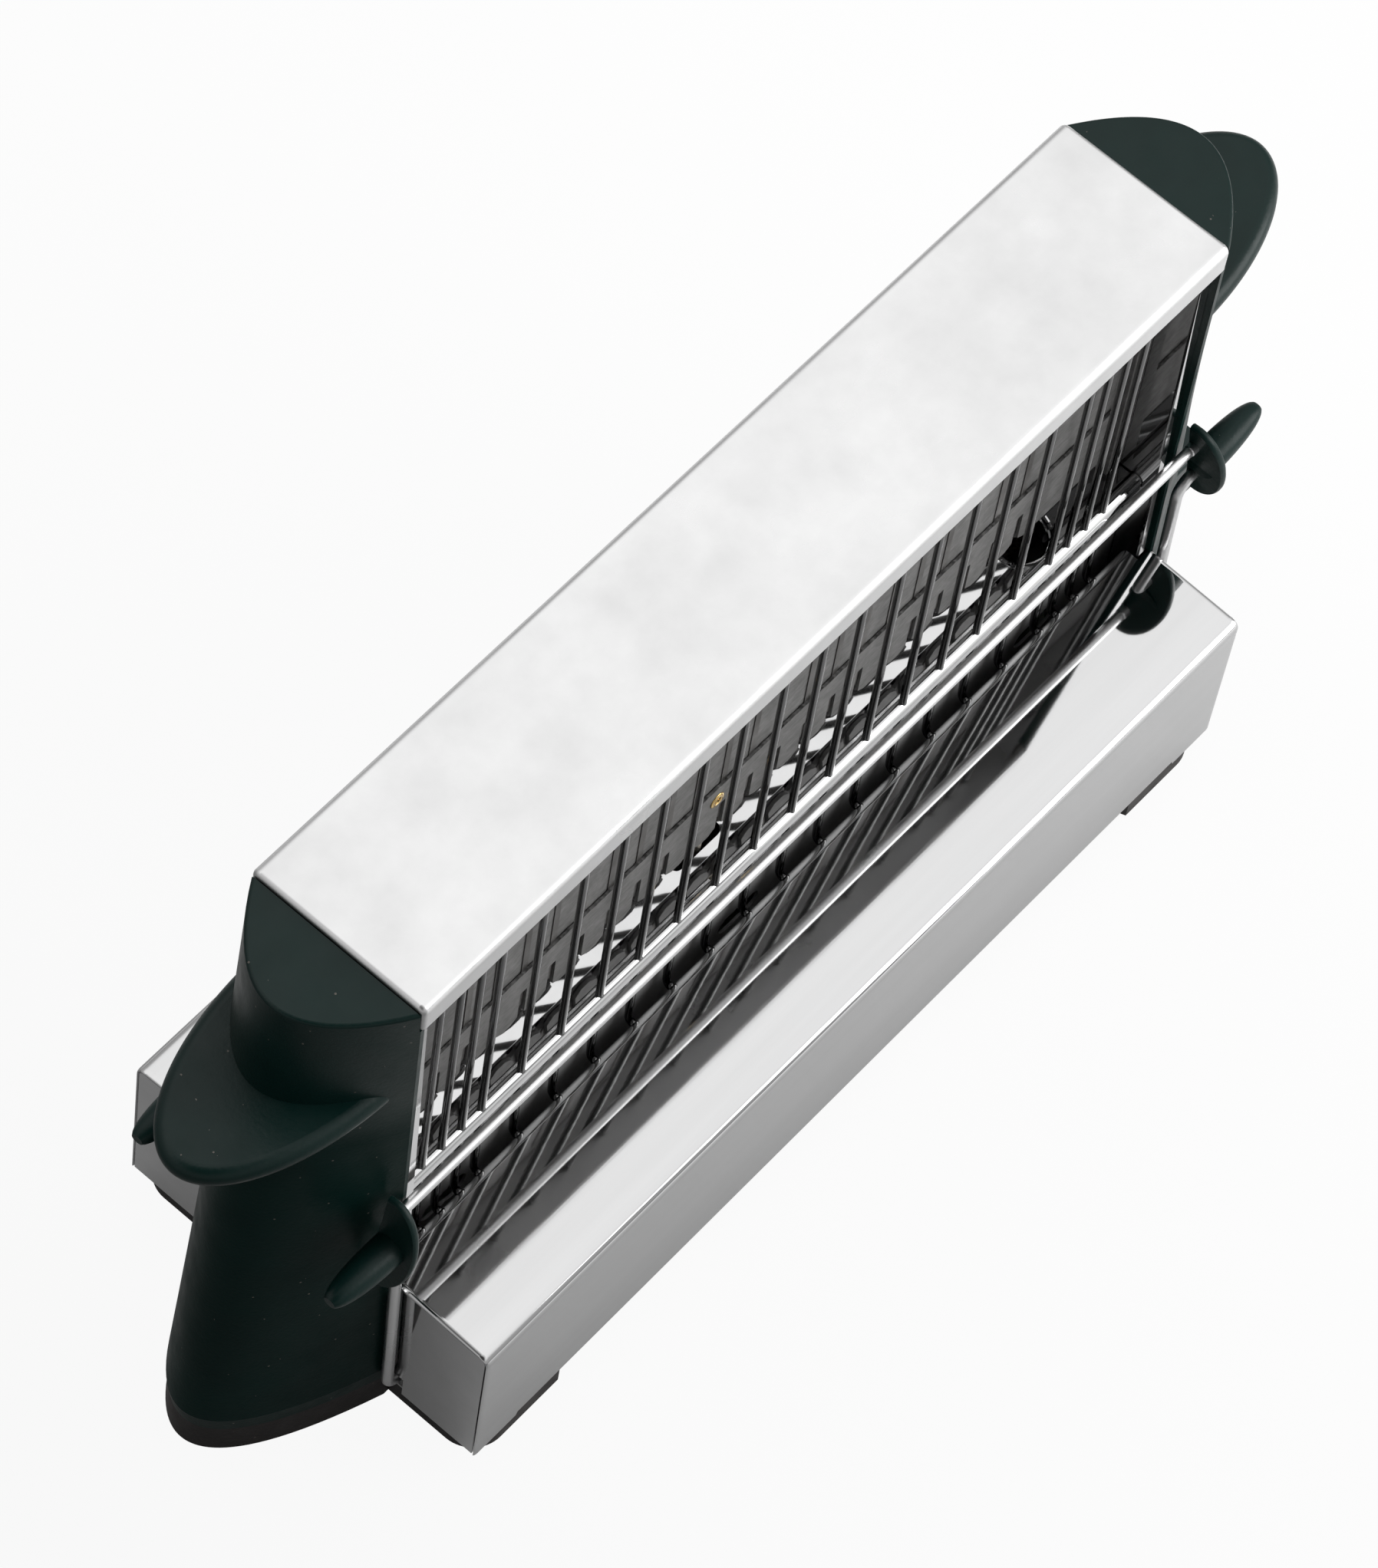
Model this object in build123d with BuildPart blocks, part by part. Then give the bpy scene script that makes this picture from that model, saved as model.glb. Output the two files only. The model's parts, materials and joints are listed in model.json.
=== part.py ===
from build123d import *
import os
from math import atan2, cos, degrees, radians, sin, tan

# Millimetres. +X along the heating tower, front towards -Y, z = 0 on the floor.

# Steel sheet, shared by base and tower
sheet = 0.8
sheet_gap = 0.3
seat_gap = 0.02

# Base box
foot_height = 7.0
base_length = 299.4
base_width = 120.0
base_edge_z = 62.2
base_crown = 1.5
base_crest_y = 24.5
base_corner_radius = 1.75
roll_y = 22.8
roll_radius = 2.4
skirt_step = 1.4
skirt_step_length = 16.0
end_plate_inset = 0.2

# Tower
cover_overhang = 0.3
cover_width = 55.0
cover_top = 207.0
cover_height = 9.0
cover_side_radius = 2.3
cover_end_radius = 1.5
tower_plate_inset = 1.1
tower_plate_top_half = 24.6
tower_plate_low_half = 28.0
tower_flange = 3.0
tower_gap = 0.4

# End caps: D plan, rim at the top, chamfer at the bottom
cap_stand_off = 0.3
cap_plate_gap = 0.1
cap_low_z = 10.5
cap_low_half = 29.3
cap_low_depth = 44.0
cap_wide_z = 17.0
cap_wide_half = 30.0
cap_wide_depth = 45.0
cap_waist_half = 27.9
cap_waist_depth = 34.2
cap_top_drop = 1.5
cap_top_half = 27.0
cap_top_depth = 22.5
cap_side_wall = 2.5
cap_nose_wall = 4.0
cap_top_wall = 3.0
cap_rim_radius = 1.0
brim_reach = 55.0
brim_half = 24.5
brim_drop = 40.0
brim_thickness = 7.0
brim_edge_radius = 3.4
boss_radius = 4.5
low_boss_z = 75.0
top_boss_drop = 22.0
screw_radius = 1.75
screw_head_radius = 3.5
screw_head_height = 2.0
cap_screw_length = 14.0
boss_bore_depth = 16.0

# End bases: plinth under the cap and the corner feet, one moulding
plinth_low_half = 29.6
plinth_low_depth = 44.6
plinth_top_half = 28.9
plinth_top_depth = 43.4
foot_inset_x = 1.5
foot_inset_y = 0.6
foot_corner_radius = 10.0
foot_strip = 14.0
foot_length = 32.2
foot_slant = 5.0
foot_screw_y = 40.0
foot_screw_bore = 4.2
foot_screw_shank = 2.0
foot_screw_length = 12.0

# Bottom pan
pan_flange = 9.0
pan_vent_length = 26.0
pan_vent_width = 4.0
pan_vent_pitch = 36.0
pan_vent_y = 38.0
pan_vent_count = 6
cut_margin = 1.0

# Chamber floor and the lower side panels
floor_z = 92.6
ledge_z = 93.7
ledge_y = 21.7
ledge_radius = 2.4
ledge_inner_y = 18.7
step_y = 17.7
ledge_drop = 4.6
slope_y = 13.6
ridge_y = 8.0
ridge_rise = 1.6
floor_bend = 0.9
floor_end_gap = 1.2
drawn_hole_inset = 38.2
drawn_hole_y = 9.4
drawn_hole_radius = 8.2
lead_slot_x = -18.2
lead_slot_length = 18.5
lead_slot_width = 4.4
lead_y = 9.0
panel_y = 17.1
slot_z = 52.0
slot_height = 7.0
slot_length = 16.0
keyhole_left_inset = 30.2
keyhole_right_inset = 34.2
keyhole_radius = 4.5
centre_slot_x = -5.0

# Wire guards
wire_radius = 1.0
wire_inset = 16.7
wire_steps = (1, 3, 5, 7, 9, 11, 13, 15, 16, 17, 18)
wire_y = 19.9
wire_drop = 2.2
wire_hole_radius = 1.1
hook_drop = 1.7
hook_radius = 2.6
hook_turn = 135.0
cross_overhang = 2.0
cross_top_y = 18.3
cross_top_drop = 3.4
cross_low_y = 25.3
cross_low_drop = 3.1

# Heater
board_y = 11.0
board_thickness = 0.8
board_low = 102.2
board_top_drop = 12.0
board_inset = 5.7
notch_depth = 2.0
notch_width = 3.4
bar_inset = 32.0
bar_count = 23
bar_shift = -14.2
bar_width = 2.2
bar_low = 110.5
bar_top_drop = 20.0
ribbon_thickness = 0.3
strip_above = 6.5
strip_thickness = 0.8
slit_above = 7.8
slit_width = 2.5
slit_height = 12.0
scallop_half = 3.8
scallop_depth = 2.4
holder_inset = 8.2
holder_gap = 0.2
holder_half = 14.0
holder_window = 7.0
holder_sill = 5.0
groove_clearance = 0.1
reflector_thickness = 0.5
eyelet_gap = 0.15
eyelet_z = 120.0
eyelet_radius = 1.4
eyelet_bore = 1.0
eyelet_flange_radius = 2.6
eyelet_flange = 0.5
eyelet_barrel = 2.0
shield_drop = 10.8
shield_half = 17.8

# Supply
inlet_z = 38.0
inlet_back = 15.0
inlet_length = 31.5
inlet_half = 14.0
inlet_half_height = 10.0
inlet_wall = 3.0
inlet_floor = 7.0
inlet_gap = 0.2
pin_radius = 2.0
pin_y = 6.0
pin_back = 8.0
pin_length = 31.0
lead_radius = 1.2
lead_bend = 6.0
lead_drop_x = 20.0
window_half = 9.0
window_half_height = 4.0
block_x = -5.0
block_length = 70.0
block_width = 26.0
block_height = 16.0
block_screw_radius = 2.5
block_screw_height = 1.5
block_screw_left_x = -30.0
block_screw_right_x = 2.0
block_groove_left_x = -9.0
block_groove_right_x = 10.0
block_groove_width = 3.0
block_groove_depth = 2.0
pin_end_radius = 1.2
inlet_edge_radius = 2.0

# Bails: one rod, two arms and two knobs each, turning at the arms' feet
rod_radius = 1.5
rod_y = 29.7
rod_z = 110.0
rod_reach = 8.0
arm_radius = 1.6
arm_stand_off = 2.5
arm_bend = 5.0
arm_entry_y = 30.1
arm_entry_z = 94.0
arm_reach = 11.0
arm_bore_start = 5.0
pivot_y = 32.0
pivot_z = 12.3
pivot_pin_inset = 7.7
pivot_gap = 0.06
block_inset = 7.1
block_thickness = 4.8
block_half = 3.6
pivot_block_top = 16.4
notch_half = 2.8
notch_top = 15.2

# Knobs: D flange, tilted, with a leaf grip behind it; the grip's places count from the arm
knob_tilt = 9.8
flange_stand_off = 4.3
flange_drop = 8.0
flange_flat_y = 27.7
flange_reach = 12.0
flange_half_height = 17.3
flange_oval_x = 9.6
flange_thickness = 2.2
flange_edge_radius = 0.9
grip_y = 32.0
grip_start = 5.1
grip_length = 22.9
grip_half_width = 4.6
grip_half_height = 4.4
grip_rise = 2.0
grip_shares = (0.0, 0.236, 0.541, 0.825, 1.0)
grip_width_shares = (0.935, 1.0, 0.957, 0.717, 0.261)
grip_height_shares = (1.0, 0.955, 0.841, 0.614, 0.227)

half_base = base_width / 2
inner_half = half_base - sheet - sheet_gap
half_length = base_length / 2
base_crest_z = base_edge_z + base_crown
pan_top = foot_height + sheet
pan_half_x = half_length - foot_inset_x
foot_end_x = pan_half_x - foot_length
cover_length = base_length + 2 * cover_overhang
tower_plate_x = half_length - tower_plate_inset
holder_inner_x = half_length - holder_inset
block_inner_x = half_length - block_inset
block_outer_x = block_inner_x + block_thickness
pivot_pin_x = half_length - pivot_pin_inset
standing = (Align.CENTER, Align.CENTER, Align.MIN)
slope = degrees(atan2(base_crest_z - base_edge_z, half_base - base_crest_y))
board_face = board_y + board_thickness / 2
strip_face = board_face + ribbon_thickness + strip_thickness
strip_top = eyelet_z + strip_above
eyelet_x = bar_shift - bar_width / 2 - eyelet_gap - eyelet_radius
block_top = pan_top + block_height

# Places that follow the base's length, counted from the cap's face and the arm
cap_face = half_length + cap_stand_off
arm_x = cap_face + arm_stand_off
arm_end_x = arm_x + arm_reach
rod_end_x = arm_x + rod_reach
flange_x = arm_x + flange_stand_off
flange_z = rod_z - flange_drop
inlet_back_x = cap_face + inlet_back
inlet_front_x = inlet_back_x + inlet_length
pin_back_x = cap_face + pin_back
pin_front_x = pin_back_x + pin_length

# Levels that follow the height
brim_z = cover_top - brim_drop
shield_z = cover_top - shield_drop
wire_top = cover_top - wire_drop
cross_top_z = cover_top - cross_top_drop
board_top = cover_top - board_top_drop
bar_top = cover_top - bar_top_drop
ridge_z = floor_z + ridge_rise
hook_z = base_crest_z - hook_drop
cross_low_z = base_crest_z - cross_low_drop

cap_levels = (cap_low_z, cap_wide_z, rod_z, cover_top - cap_top_drop)
cap_halves = (cap_low_half, cap_wide_half, cap_waist_half, cap_top_half)
cap_depths = (cap_low_depth, cap_wide_depth, cap_waist_depth, cap_top_depth)
boss_levels = (low_boss_z, cover_top - top_boss_drop)
keyhole_xs = (keyhole_left_inset - half_length, half_length - keyhole_right_inset)
drawn_hole_x = half_length - drawn_hole_inset
wire_pitch = (half_length - wire_inset) / wire_steps[-1]
wire_xs = tuple(way * step * wire_pitch for step in wire_steps for way in (-1, 1))
board_half = half_length - board_inset
bar_pitch = (half_length - bar_inset) / (bar_count // 2)
bar_xs = tuple(bar_shift + (index - bar_count // 2) * bar_pitch for index in range(bar_count))


def cap_section(level, half, depth, start):
    """Returns one D of an end cap: straight to the cap's face, then a parabola round the nose."""
    with BuildSketch(Plane.XY.offset(level)) as section:
        with BuildLine():
            Line((start, -half), (cap_face, -half))
            Bezier((cap_face, -half), (cap_face + 2 * depth, 0), (cap_face, half))
            Line((cap_face, half), (start, half))
            Line((start, half), (start, -half))
        make_face()
    return section.sketch


def cap_depth_at(level):
    """Depth of the cap's D at a level between its waist and its ends."""
    pairs = list(zip(cap_levels, cap_depths))
    for (low, low_depth), (high, high_depth) in zip(pairs, pairs[1:]):
        if level <= high:
            share = (level - low) / (high - low)
            return low_depth + share * (high_depth - low_depth)
    return cap_depths[-1]


# Top cover: a shallow tray turned over, its end edges rolled
with BuildPart() as top_cover:
    with BuildSketch(Plane.XY.offset(cover_top - cover_height)):
        Rectangle(cover_length, cover_width)
    extrude(amount=cover_height)
    crown = top_cover.faces().sort_by(Axis.Z)[-1]
    fillet(crown.edges().filter_by(Axis.X), cover_side_radius)
    crown = top_cover.faces().sort_by(Axis.Z)[-1]
    fillet(crown.edges().filter_by(Axis.Y), cover_end_radius)
    with BuildSketch(Plane.XY.offset(cover_top - cover_height)):
        Rectangle(cover_length - 2 * sheet, cover_width - 2 * sheet)
    extrude(amount=cover_height - sheet, mode=Mode.SUBTRACT)

with BuildPart() as heat_shield:
    with BuildSketch(Plane.XY.offset(shield_z)):
        Rectangle(2 * (tower_plate_x - sheet), 2 * shield_half)
    extrude(amount=sheet)

# Tower end plate: trapezium above the base, straight below, edges folded inwards
with BuildPart() as tower_plate_right:
    plate_top = cover_top - sheet
    outline = (
        (-tower_plate_low_half, pan_top),
        (tower_plate_low_half, pan_top),
        (tower_plate_low_half, base_crest_z),
        (tower_plate_top_half, plate_top),
        (-tower_plate_top_half, plate_top),
        (-tower_plate_low_half, base_crest_z),
    )
    inset = tuple((y - sheet if y > 0 else y + sheet, z) for y, z in outline)
    flange_depth = sheet + tower_flange
    with BuildSketch(Plane.YZ.offset(tower_plate_x - flange_depth)):
        Polygon(*outline, align=None)
    extrude(amount=flange_depth)
    with BuildSketch(Plane.YZ.offset(tower_plate_x - flange_depth)):
        Polygon(*inset, align=None)
    extrude(amount=tower_flange, mode=Mode.SUBTRACT)
    with BuildSketch(Plane.YZ.offset(tower_plate_x - sheet)):
        with Locations(*((0, level) for level in boss_levels)):
            Circle(screw_radius + sheet_gap)
        with Locations((0, inlet_z)):
            Rectangle(2 * window_half, 2 * window_half_height)
    extrude(amount=sheet, mode=Mode.SUBTRACT)

with BuildPart() as tower_plate_left:
    mirror(tower_plate_right.part, about=Plane.YZ)

# Base cover: side, top and the rolled inner edge in one sheet
with BuildPart() as base_cover_front:
    with BuildSketch(Plane.YZ):
        with BuildLine():
            side = Line((-half_base, foot_height), (-half_base, base_edge_z - base_corner_radius))
            corner = JernArc(side @ 1, side % 1, base_corner_radius, slope - 90)
            crest_y = -roll_y - roll_radius * (1 + sin(radians(slope)))
            crest_z = (corner @ 1).Y + (crest_y - (corner @ 1).X) * tan(radians(slope))
            deck = Line(corner @ 1, (crest_y, crest_z))
            JernArc(deck @ 1, deck % 1, roll_radius, -90 - slope)
            offset(amount=sheet, side=Side.RIGHT)
        make_face()
    extrude(amount=half_length, both=True)
    with Locations((0, -half_base, foot_height)):
        Box(base_length - 2 * skirt_step_length, 4 * sheet, 2 * skirt_step, mode=Mode.SUBTRACT)
    gap_x = tower_plate_x - sheet - tower_flange - tower_gap
    for way in (-1, 1):
        with Locations((way * half_length, 0, base_crest_z)):
            Box(
                2 * (half_length - gap_x),
                2 * (tower_plate_low_half + tower_gap),
                4 * roll_radius,
                mode=Mode.SUBTRACT,
            )

with BuildPart() as base_cover_back:
    mirror(base_cover_front.part, about=Plane.XZ)

# Base end plate, flush under the covers, with a notch for each pivot pin
with BuildPart() as base_end_right:
    shoulder = base_edge_z - sheet - sheet_gap
    ridge = base_crest_z - sheet - sheet_gap
    with BuildSketch(Plane.YZ.offset(half_length - end_plate_inset - sheet)):
        with BuildLine():
            Polyline(
                (-inner_half, foot_height),
                (inner_half, foot_height),
                (inner_half, shoulder),
                (base_crest_y, ridge),
                (-base_crest_y, ridge),
                (-inner_half, shoulder),
                close=True,
            )
        make_face()
        outer = vertices().group_by(Axis.X)
        shoulders = [v for v in (*outer[0], *outer[-1]) if v.Y > 2 * foot_height]
        fillet(shoulders, base_corner_radius)
        with Locations((-pivot_y, foot_height), (pivot_y, foot_height)):
            Rectangle(2 * notch_half, 2 * (notch_top - foot_height), mode=Mode.SUBTRACT)
        with Locations((0, inlet_z)):
            Rectangle(2 * window_half, 2 * window_half_height, mode=Mode.SUBTRACT)
    extrude(amount=sheet)

with BuildPart() as base_end_left:
    mirror(base_end_right.part, about=Plane.YZ)

# Bottom pan with folded sides and two rows of vents
with BuildPart() as bottom_pan:
    with BuildSketch(Plane.XY.offset(foot_height)):
        Rectangle(2 * pan_half_x, 2 * inner_half)
    extrude(amount=pan_flange)
    with BuildSketch(Plane.XY.offset(pan_top)):
        Rectangle(2 * pan_half_x, 2 * (inner_half - sheet))
    extrude(amount=pan_flange, mode=Mode.SUBTRACT)
    with BuildSketch(Plane.XY.offset(foot_height)):
        for row in (-pan_vent_y, pan_vent_y):
            with Locations((0, row)):
                with GridLocations(pan_vent_pitch, 0, pan_vent_count, 1):
                    SlotOverall(pan_vent_length, pan_vent_width)
        foot_screw_x = pan_half_x - foot_strip / 2
        with GridLocations(2 * foot_screw_x, 2 * foot_screw_y, 2, 2):
            Circle(foot_screw_shank + sheet_gap)
    extrude(amount=sheet, mode=Mode.SUBTRACT)

# End base: plinth below the cap, bar under the end plate, foot along each side
with BuildPart() as end_base_right:
    foot_half = half_base - foot_inset_y
    strip_inner = pan_half_x - foot_strip
    with BuildSketch(Plane.XY):
        with BuildLine():
            Polyline(
                (pan_half_x, -foot_half),
                (pan_half_x, foot_half),
                (foot_end_x, foot_half),
                (foot_end_x - foot_slant, foot_half - foot_strip),
                (strip_inner, foot_half - foot_strip),
                (strip_inner, foot_strip - foot_half),
                (foot_end_x - foot_slant, foot_strip - foot_half),
                (foot_end_x, -foot_half),
                close=True,
            )
        make_face()
        fillet(vertices().group_by(Axis.X)[-1], foot_corner_radius)
    extrude(amount=foot_height)
    plinth_start = pan_half_x - cut_margin
    plinth_low = cap_section(0, plinth_low_half, plinth_low_depth, plinth_start)
    plinth_top = cap_section(cap_low_z, plinth_top_half, plinth_top_depth, plinth_start)
    loft([plinth_low, plinth_top])
    with Locations((cap_face + end_plate_inset, 0, foot_height)):
        Box(
            2 * foot_strip,
            base_width,
            cap_low_z,
            align=(Align.MAX, Align.CENTER, Align.MIN),
            mode=Mode.SUBTRACT,
        )
    with Locations((foot_screw_x, -foot_screw_y, 0), (foot_screw_x, foot_screw_y, 0)):
        Cylinder(foot_screw_bore, foot_height, mode=Mode.SUBTRACT)
        Cylinder(foot_screw_shank + sheet_gap, 2 * foot_screw_length, mode=Mode.SUBTRACT)

with BuildPart() as end_base_left:
    mirror(end_base_right.part, about=Plane.YZ)

with BuildPart() as foot_screws:
    head_base = foot_height / 2 - screw_head_height
    with GridLocations(2 * foot_screw_x, 2 * foot_screw_y, 2, 2):
        with Locations((0, 0, head_base)):
            Cylinder(screw_head_radius, screw_head_height, align=standing)
            Cylinder(foot_screw_shank, foot_screw_length, align=standing)

# Carrying lip, an ellipse with a rounded edge
with BuildPart() as brim:
    with BuildSketch(Plane.XY.offset(brim_z - brim_thickness / 2)):
        with Locations((cap_face, 0)):
            Ellipse(brim_reach, brim_half)
    extrude(amount=brim_thickness)
    fillet(brim.edges(), brim_edge_radius)
    with Locations((cap_face, 0, brim_z)):
        Box(
            2 * brim_reach,
            4 * brim_half,
            2 * brim_thickness,
            align=(Align.MAX, Align.CENTER, Align.CENTER),
            mode=Mode.SUBTRACT,
        )

# End caps: hollow, stepped round cover, tower plate and base end plate
with BuildPart() as plain_cap:
    cap_start = tower_plate_x + cap_plate_gap
    sizes = zip(cap_levels, cap_halves, cap_depths)
    loft([cap_section(level, half, depth, cap_start) for level, half, depth in sizes], ruled=True)
    rim = plain_cap.faces().sort_by(Axis.Z)[-1].edges().sort_by(Axis.X)[-1]
    fillet(rim, cap_rim_radius)
    add(brim.part)
    hollow_levels = (cap_low_z - cut_margin, cap_wide_z, rod_z, cap_levels[-1] - cap_top_wall)
    hollow_halves = tuple(half - cap_side_wall for half in cap_halves)
    hollow_depths = tuple(depth - cap_nose_wall for depth in cap_depths)
    sizes = zip(hollow_levels, hollow_halves, hollow_depths)
    hollow_start = cap_start - cut_margin
    hollow = [cap_section(level, half, depth, hollow_start) for level, half, depth in sizes]
    loft(hollow, ruled=True, mode=Mode.SUBTRACT)
    for level in boss_levels:
        with BuildSketch(Plane.YZ.offset(cap_start)):
            with Locations((0, level)):
                Circle(boss_radius)
        extrude(amount=cap_face + cap_depth_at(level) - cap_nose_wall / 2 - cap_start)
        with BuildSketch(Plane.YZ.offset(cap_start)):
            with Locations((0, level)):
                Circle(screw_radius + seat_gap)
        extrude(amount=boss_bore_depth, mode=Mode.SUBTRACT)
    cover_room = cover_top - cover_height - sheet_gap
    base_room = base_crest_z + sheet_gap
    with Locations((cap_face + sheet_gap, 0, cover_room)):
        Box(
            foot_strip,
            base_width,
            cover_top,
            align=(Align.MAX, Align.CENTER, Align.MIN),
            mode=Mode.SUBTRACT,
        )
    with Locations((cap_face - end_plate_inset, 0, base_room)):
        Box(
            foot_strip,
            base_width,
            cover_top,
            align=(Align.MAX, Align.CENTER, Align.MAX),
            mode=Mode.SUBTRACT,
        )

with BuildPart() as end_cap_left:
    mirror(plain_cap.part, about=Plane.YZ)

with BuildPart() as end_cap_right:
    add(plain_cap.part)
    with Locations((inlet_back_x, 0, inlet_z)):
        Box(
            2 * (inlet_front_x - inlet_back_x),
            2 * (inlet_half + inlet_gap),
            2 * (inlet_half_height + inlet_gap),
            mode=Mode.SUBTRACT,
        )

# Screws that hold each cap to its tower plate
with BuildPart() as cap_screws_right:
    for level in boss_levels:
        with BuildSketch(Plane.YZ.offset(tower_plate_x - sheet)):
            with Locations((0, level)):
                Circle(screw_radius)
        extrude(amount=cap_screw_length)
        with BuildSketch(Plane.YZ.offset(tower_plate_x - sheet)):
            with Locations((0, level)):
                Circle(screw_head_radius)
        extrude(amount=-screw_head_height)

with BuildPart() as cap_screws_left:
    mirror(cap_screws_right.part, about=Plane.YZ)

# Chamber floor: low ridge under the boards, round ledge on each side, a hole for each wire
with BuildPart() as chamber_floor:
    with BuildSketch(Plane.YZ):
        with BuildLine():
            rise = Line((-ledge_y, ledge_z - ledge_drop), (-ledge_y, ledge_z - ledge_radius))
            front_bend = JernArc(rise @ 1, rise % 1, ledge_radius, -90)
            middle = FilletPolyline(
                front_bend @ 1,
                (-ledge_inner_y, ledge_z),
                (-step_y, floor_z),
                (-slope_y, floor_z),
                (-ridge_y, ridge_z),
                (ridge_y, ridge_z),
                (slope_y, floor_z),
                (step_y, floor_z),
                (ledge_inner_y, ledge_z),
                (ledge_y - ledge_radius, ledge_z),
                radius=floor_bend,
            )
            back_bend = JernArc(middle @ 1, middle % 1, ledge_radius, -90)
            Line(back_bend @ 1, (ledge_y, ledge_z - ledge_drop))
            offset(amount=sheet, side=Side.RIGHT)
        make_face()
    extrude(amount=tower_plate_x - floor_end_gap, both=True)
    with BuildSketch(Plane.XY.offset(ledge_z - 2 * ledge_drop)):
        for side_y in (-wire_y, wire_y):
            with Locations(*((x, side_y) for x in wire_xs)):
                Circle(wire_hole_radius)
        with Locations((drawn_hole_x, -drawn_hole_y), (-drawn_hole_x, drawn_hole_y)):
            Circle(drawn_hole_radius)
        with Locations((lead_slot_x, -lead_y), (lead_slot_x, lead_y)):
            SlotOverall(lead_slot_length, lead_slot_width)
    extrude(amount=3 * ledge_drop, mode=Mode.SUBTRACT)

# Lower side panel with two keyhole slots and one long slot
with BuildPart() as side_panel_front:
    with BuildSketch(Plane.XZ.offset(panel_y)):
        with Locations((0, (pan_top + floor_z - sheet) / 2)):
            Rectangle(2 * (tower_plate_x - floor_end_gap), floor_z - sheet - pan_top)
        with Locations(*((x, slot_z) for x in (*keyhole_xs, centre_slot_x))):
            SlotOverall(slot_length, slot_height, mode=Mode.SUBTRACT)
        with Locations(*((x + slot_length / 2 - slot_height / 2, slot_z) for x in keyhole_xs)):
            Circle(keyhole_radius, mode=Mode.SUBTRACT)
    extrude(amount=sheet)

with BuildPart() as side_panel_back:
    mirror(side_panel_front.part, about=Plane.XZ)

# Guard: upright wires with a hidden wire across the top
half_span = wire_xs[-1] + cross_overhang
with BuildPart() as guard_front:
    with BuildSketch(Plane.YZ.offset(-half_span)):
        with Locations((-cross_top_y, cross_top_z)):
            Circle(wire_radius)
    extrude(amount=2 * half_span)
    with BuildSketch(Plane.XY.offset(hook_z)):
        with Locations(*((x, -wire_y) for x in wire_xs)):
            Circle(wire_radius)
    extrude(amount=wire_top - hook_z)

with BuildPart() as guard_back:
    mirror(guard_front.part, about=Plane.XZ)

# Hooks of the guard wires round the base's rolled edge, on a hidden wire along the base
with BuildPart() as guard_hook:
    with BuildLine(Plane.YZ):
        JernArc((-wire_y, hook_z), (0, -1), hook_radius, -hook_turn)
    with BuildSketch(Plane.XY.offset(hook_z)):
        with Locations((0, -wire_y)):
            Circle(wire_radius)
    sweep()

with BuildPart() as guard_hooks_front:
    with BuildSketch(Plane.YZ.offset(-half_span)):
        with Locations((-cross_low_y, cross_low_z)):
            Circle(wire_radius)
    extrude(amount=2 * half_span)
    with Locations(*((x, 0, 0) for x in wire_xs)):
        add(guard_hook.part)

with BuildPart() as guard_hooks_back:
    mirror(guard_hooks_front.part, about=Plane.XZ)

# Mica board with a notched lower edge
with BuildPart() as mica_front:
    with BuildSketch(Plane.XZ.offset(board_y - board_thickness / 2)):
        with Locations((0, (board_low + board_top) / 2)):
            Rectangle(2 * board_half, board_top - board_low)
        with Locations(*((x, board_low) for x in bar_xs)):
            SlotOverall(2 * notch_depth + notch_width, notch_width, rotation=90, mode=Mode.SUBTRACT)
        with Locations((eyelet_x, eyelet_z)):
            Circle(eyelet_radius + seat_gap, mode=Mode.SUBTRACT)
    extrude(amount=board_thickness)

with BuildPart() as mica_back:
    mirror(mica_front.part, about=Plane.XZ)

# Heater ribbon, up and down across the board without a break
with BuildPart() as ribbon_front:
    with BuildSketch(Plane.XZ.offset(board_face)):
        with Locations(*((x, (bar_low + bar_top) / 2) for x in bar_xs)):
            Rectangle(bar_width, bar_top - bar_low)
        for index, x in enumerate(bar_xs[:-1]):
            turn_z = bar_low if index % 2 else bar_top
            way = -1 if index % 2 else 1
            with Locations((x + bar_pitch / 2, turn_z)):
                Circle((bar_pitch + bar_width) / 2)
        for index, x in enumerate(bar_xs[:-1]):
            turn_z = bar_low if index % 2 else bar_top
            way = 1 if index % 2 else -1
            with Locations((x + bar_pitch / 2, turn_z)):
                Circle((bar_pitch - bar_width) / 2, mode=Mode.SUBTRACT)
            with Locations((x + bar_pitch / 2, turn_z + way * bar_pitch / 2)):
                Rectangle(bar_pitch - bar_width, bar_pitch, mode=Mode.SUBTRACT)
    extrude(amount=ribbon_thickness)

with BuildPart() as ribbon_back:
    mirror(ribbon_front.part, about=Plane.XZ)

# Mica strip over the ribbon's lower ends: a slit and a scallop at each bar
with BuildPart() as strip_front:
    with BuildSketch(Plane.XZ.offset(board_face + ribbon_thickness)):
        with Locations((0, (board_low + strip_top) / 2)):
            Rectangle(2 * holder_inner_x, strip_top - board_low)
        with Locations(*((x, board_low + slit_above) for x in bar_xs)):
            Rectangle(slit_width, slit_height, mode=Mode.SUBTRACT)
        with Locations(*((x, board_low) for x in bar_xs)):
            Polygon(
                (-scallop_half, 0),
                (-scallop_half, -cut_margin),
                (scallop_half, -cut_margin),
                (scallop_half, 0),
                (0, scallop_depth),
                align=None,
                mode=Mode.SUBTRACT,
            )
        with Locations((eyelet_x, eyelet_z)):
            Circle(eyelet_radius + seat_gap, mode=Mode.SUBTRACT)
    extrude(amount=strip_thickness)

with BuildPart() as strip_back:
    mirror(strip_front.part, about=Plane.XZ)

with BuildPart() as reflector:
    with BuildSketch(Plane.XZ.offset(-reflector_thickness / 2)):
        with Locations((0, (ridge_z + shield_z) / 2)):
            Rectangle(2 * holder_inner_x, shield_z - ridge_z)
    extrude(amount=reflector_thickness)

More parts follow.
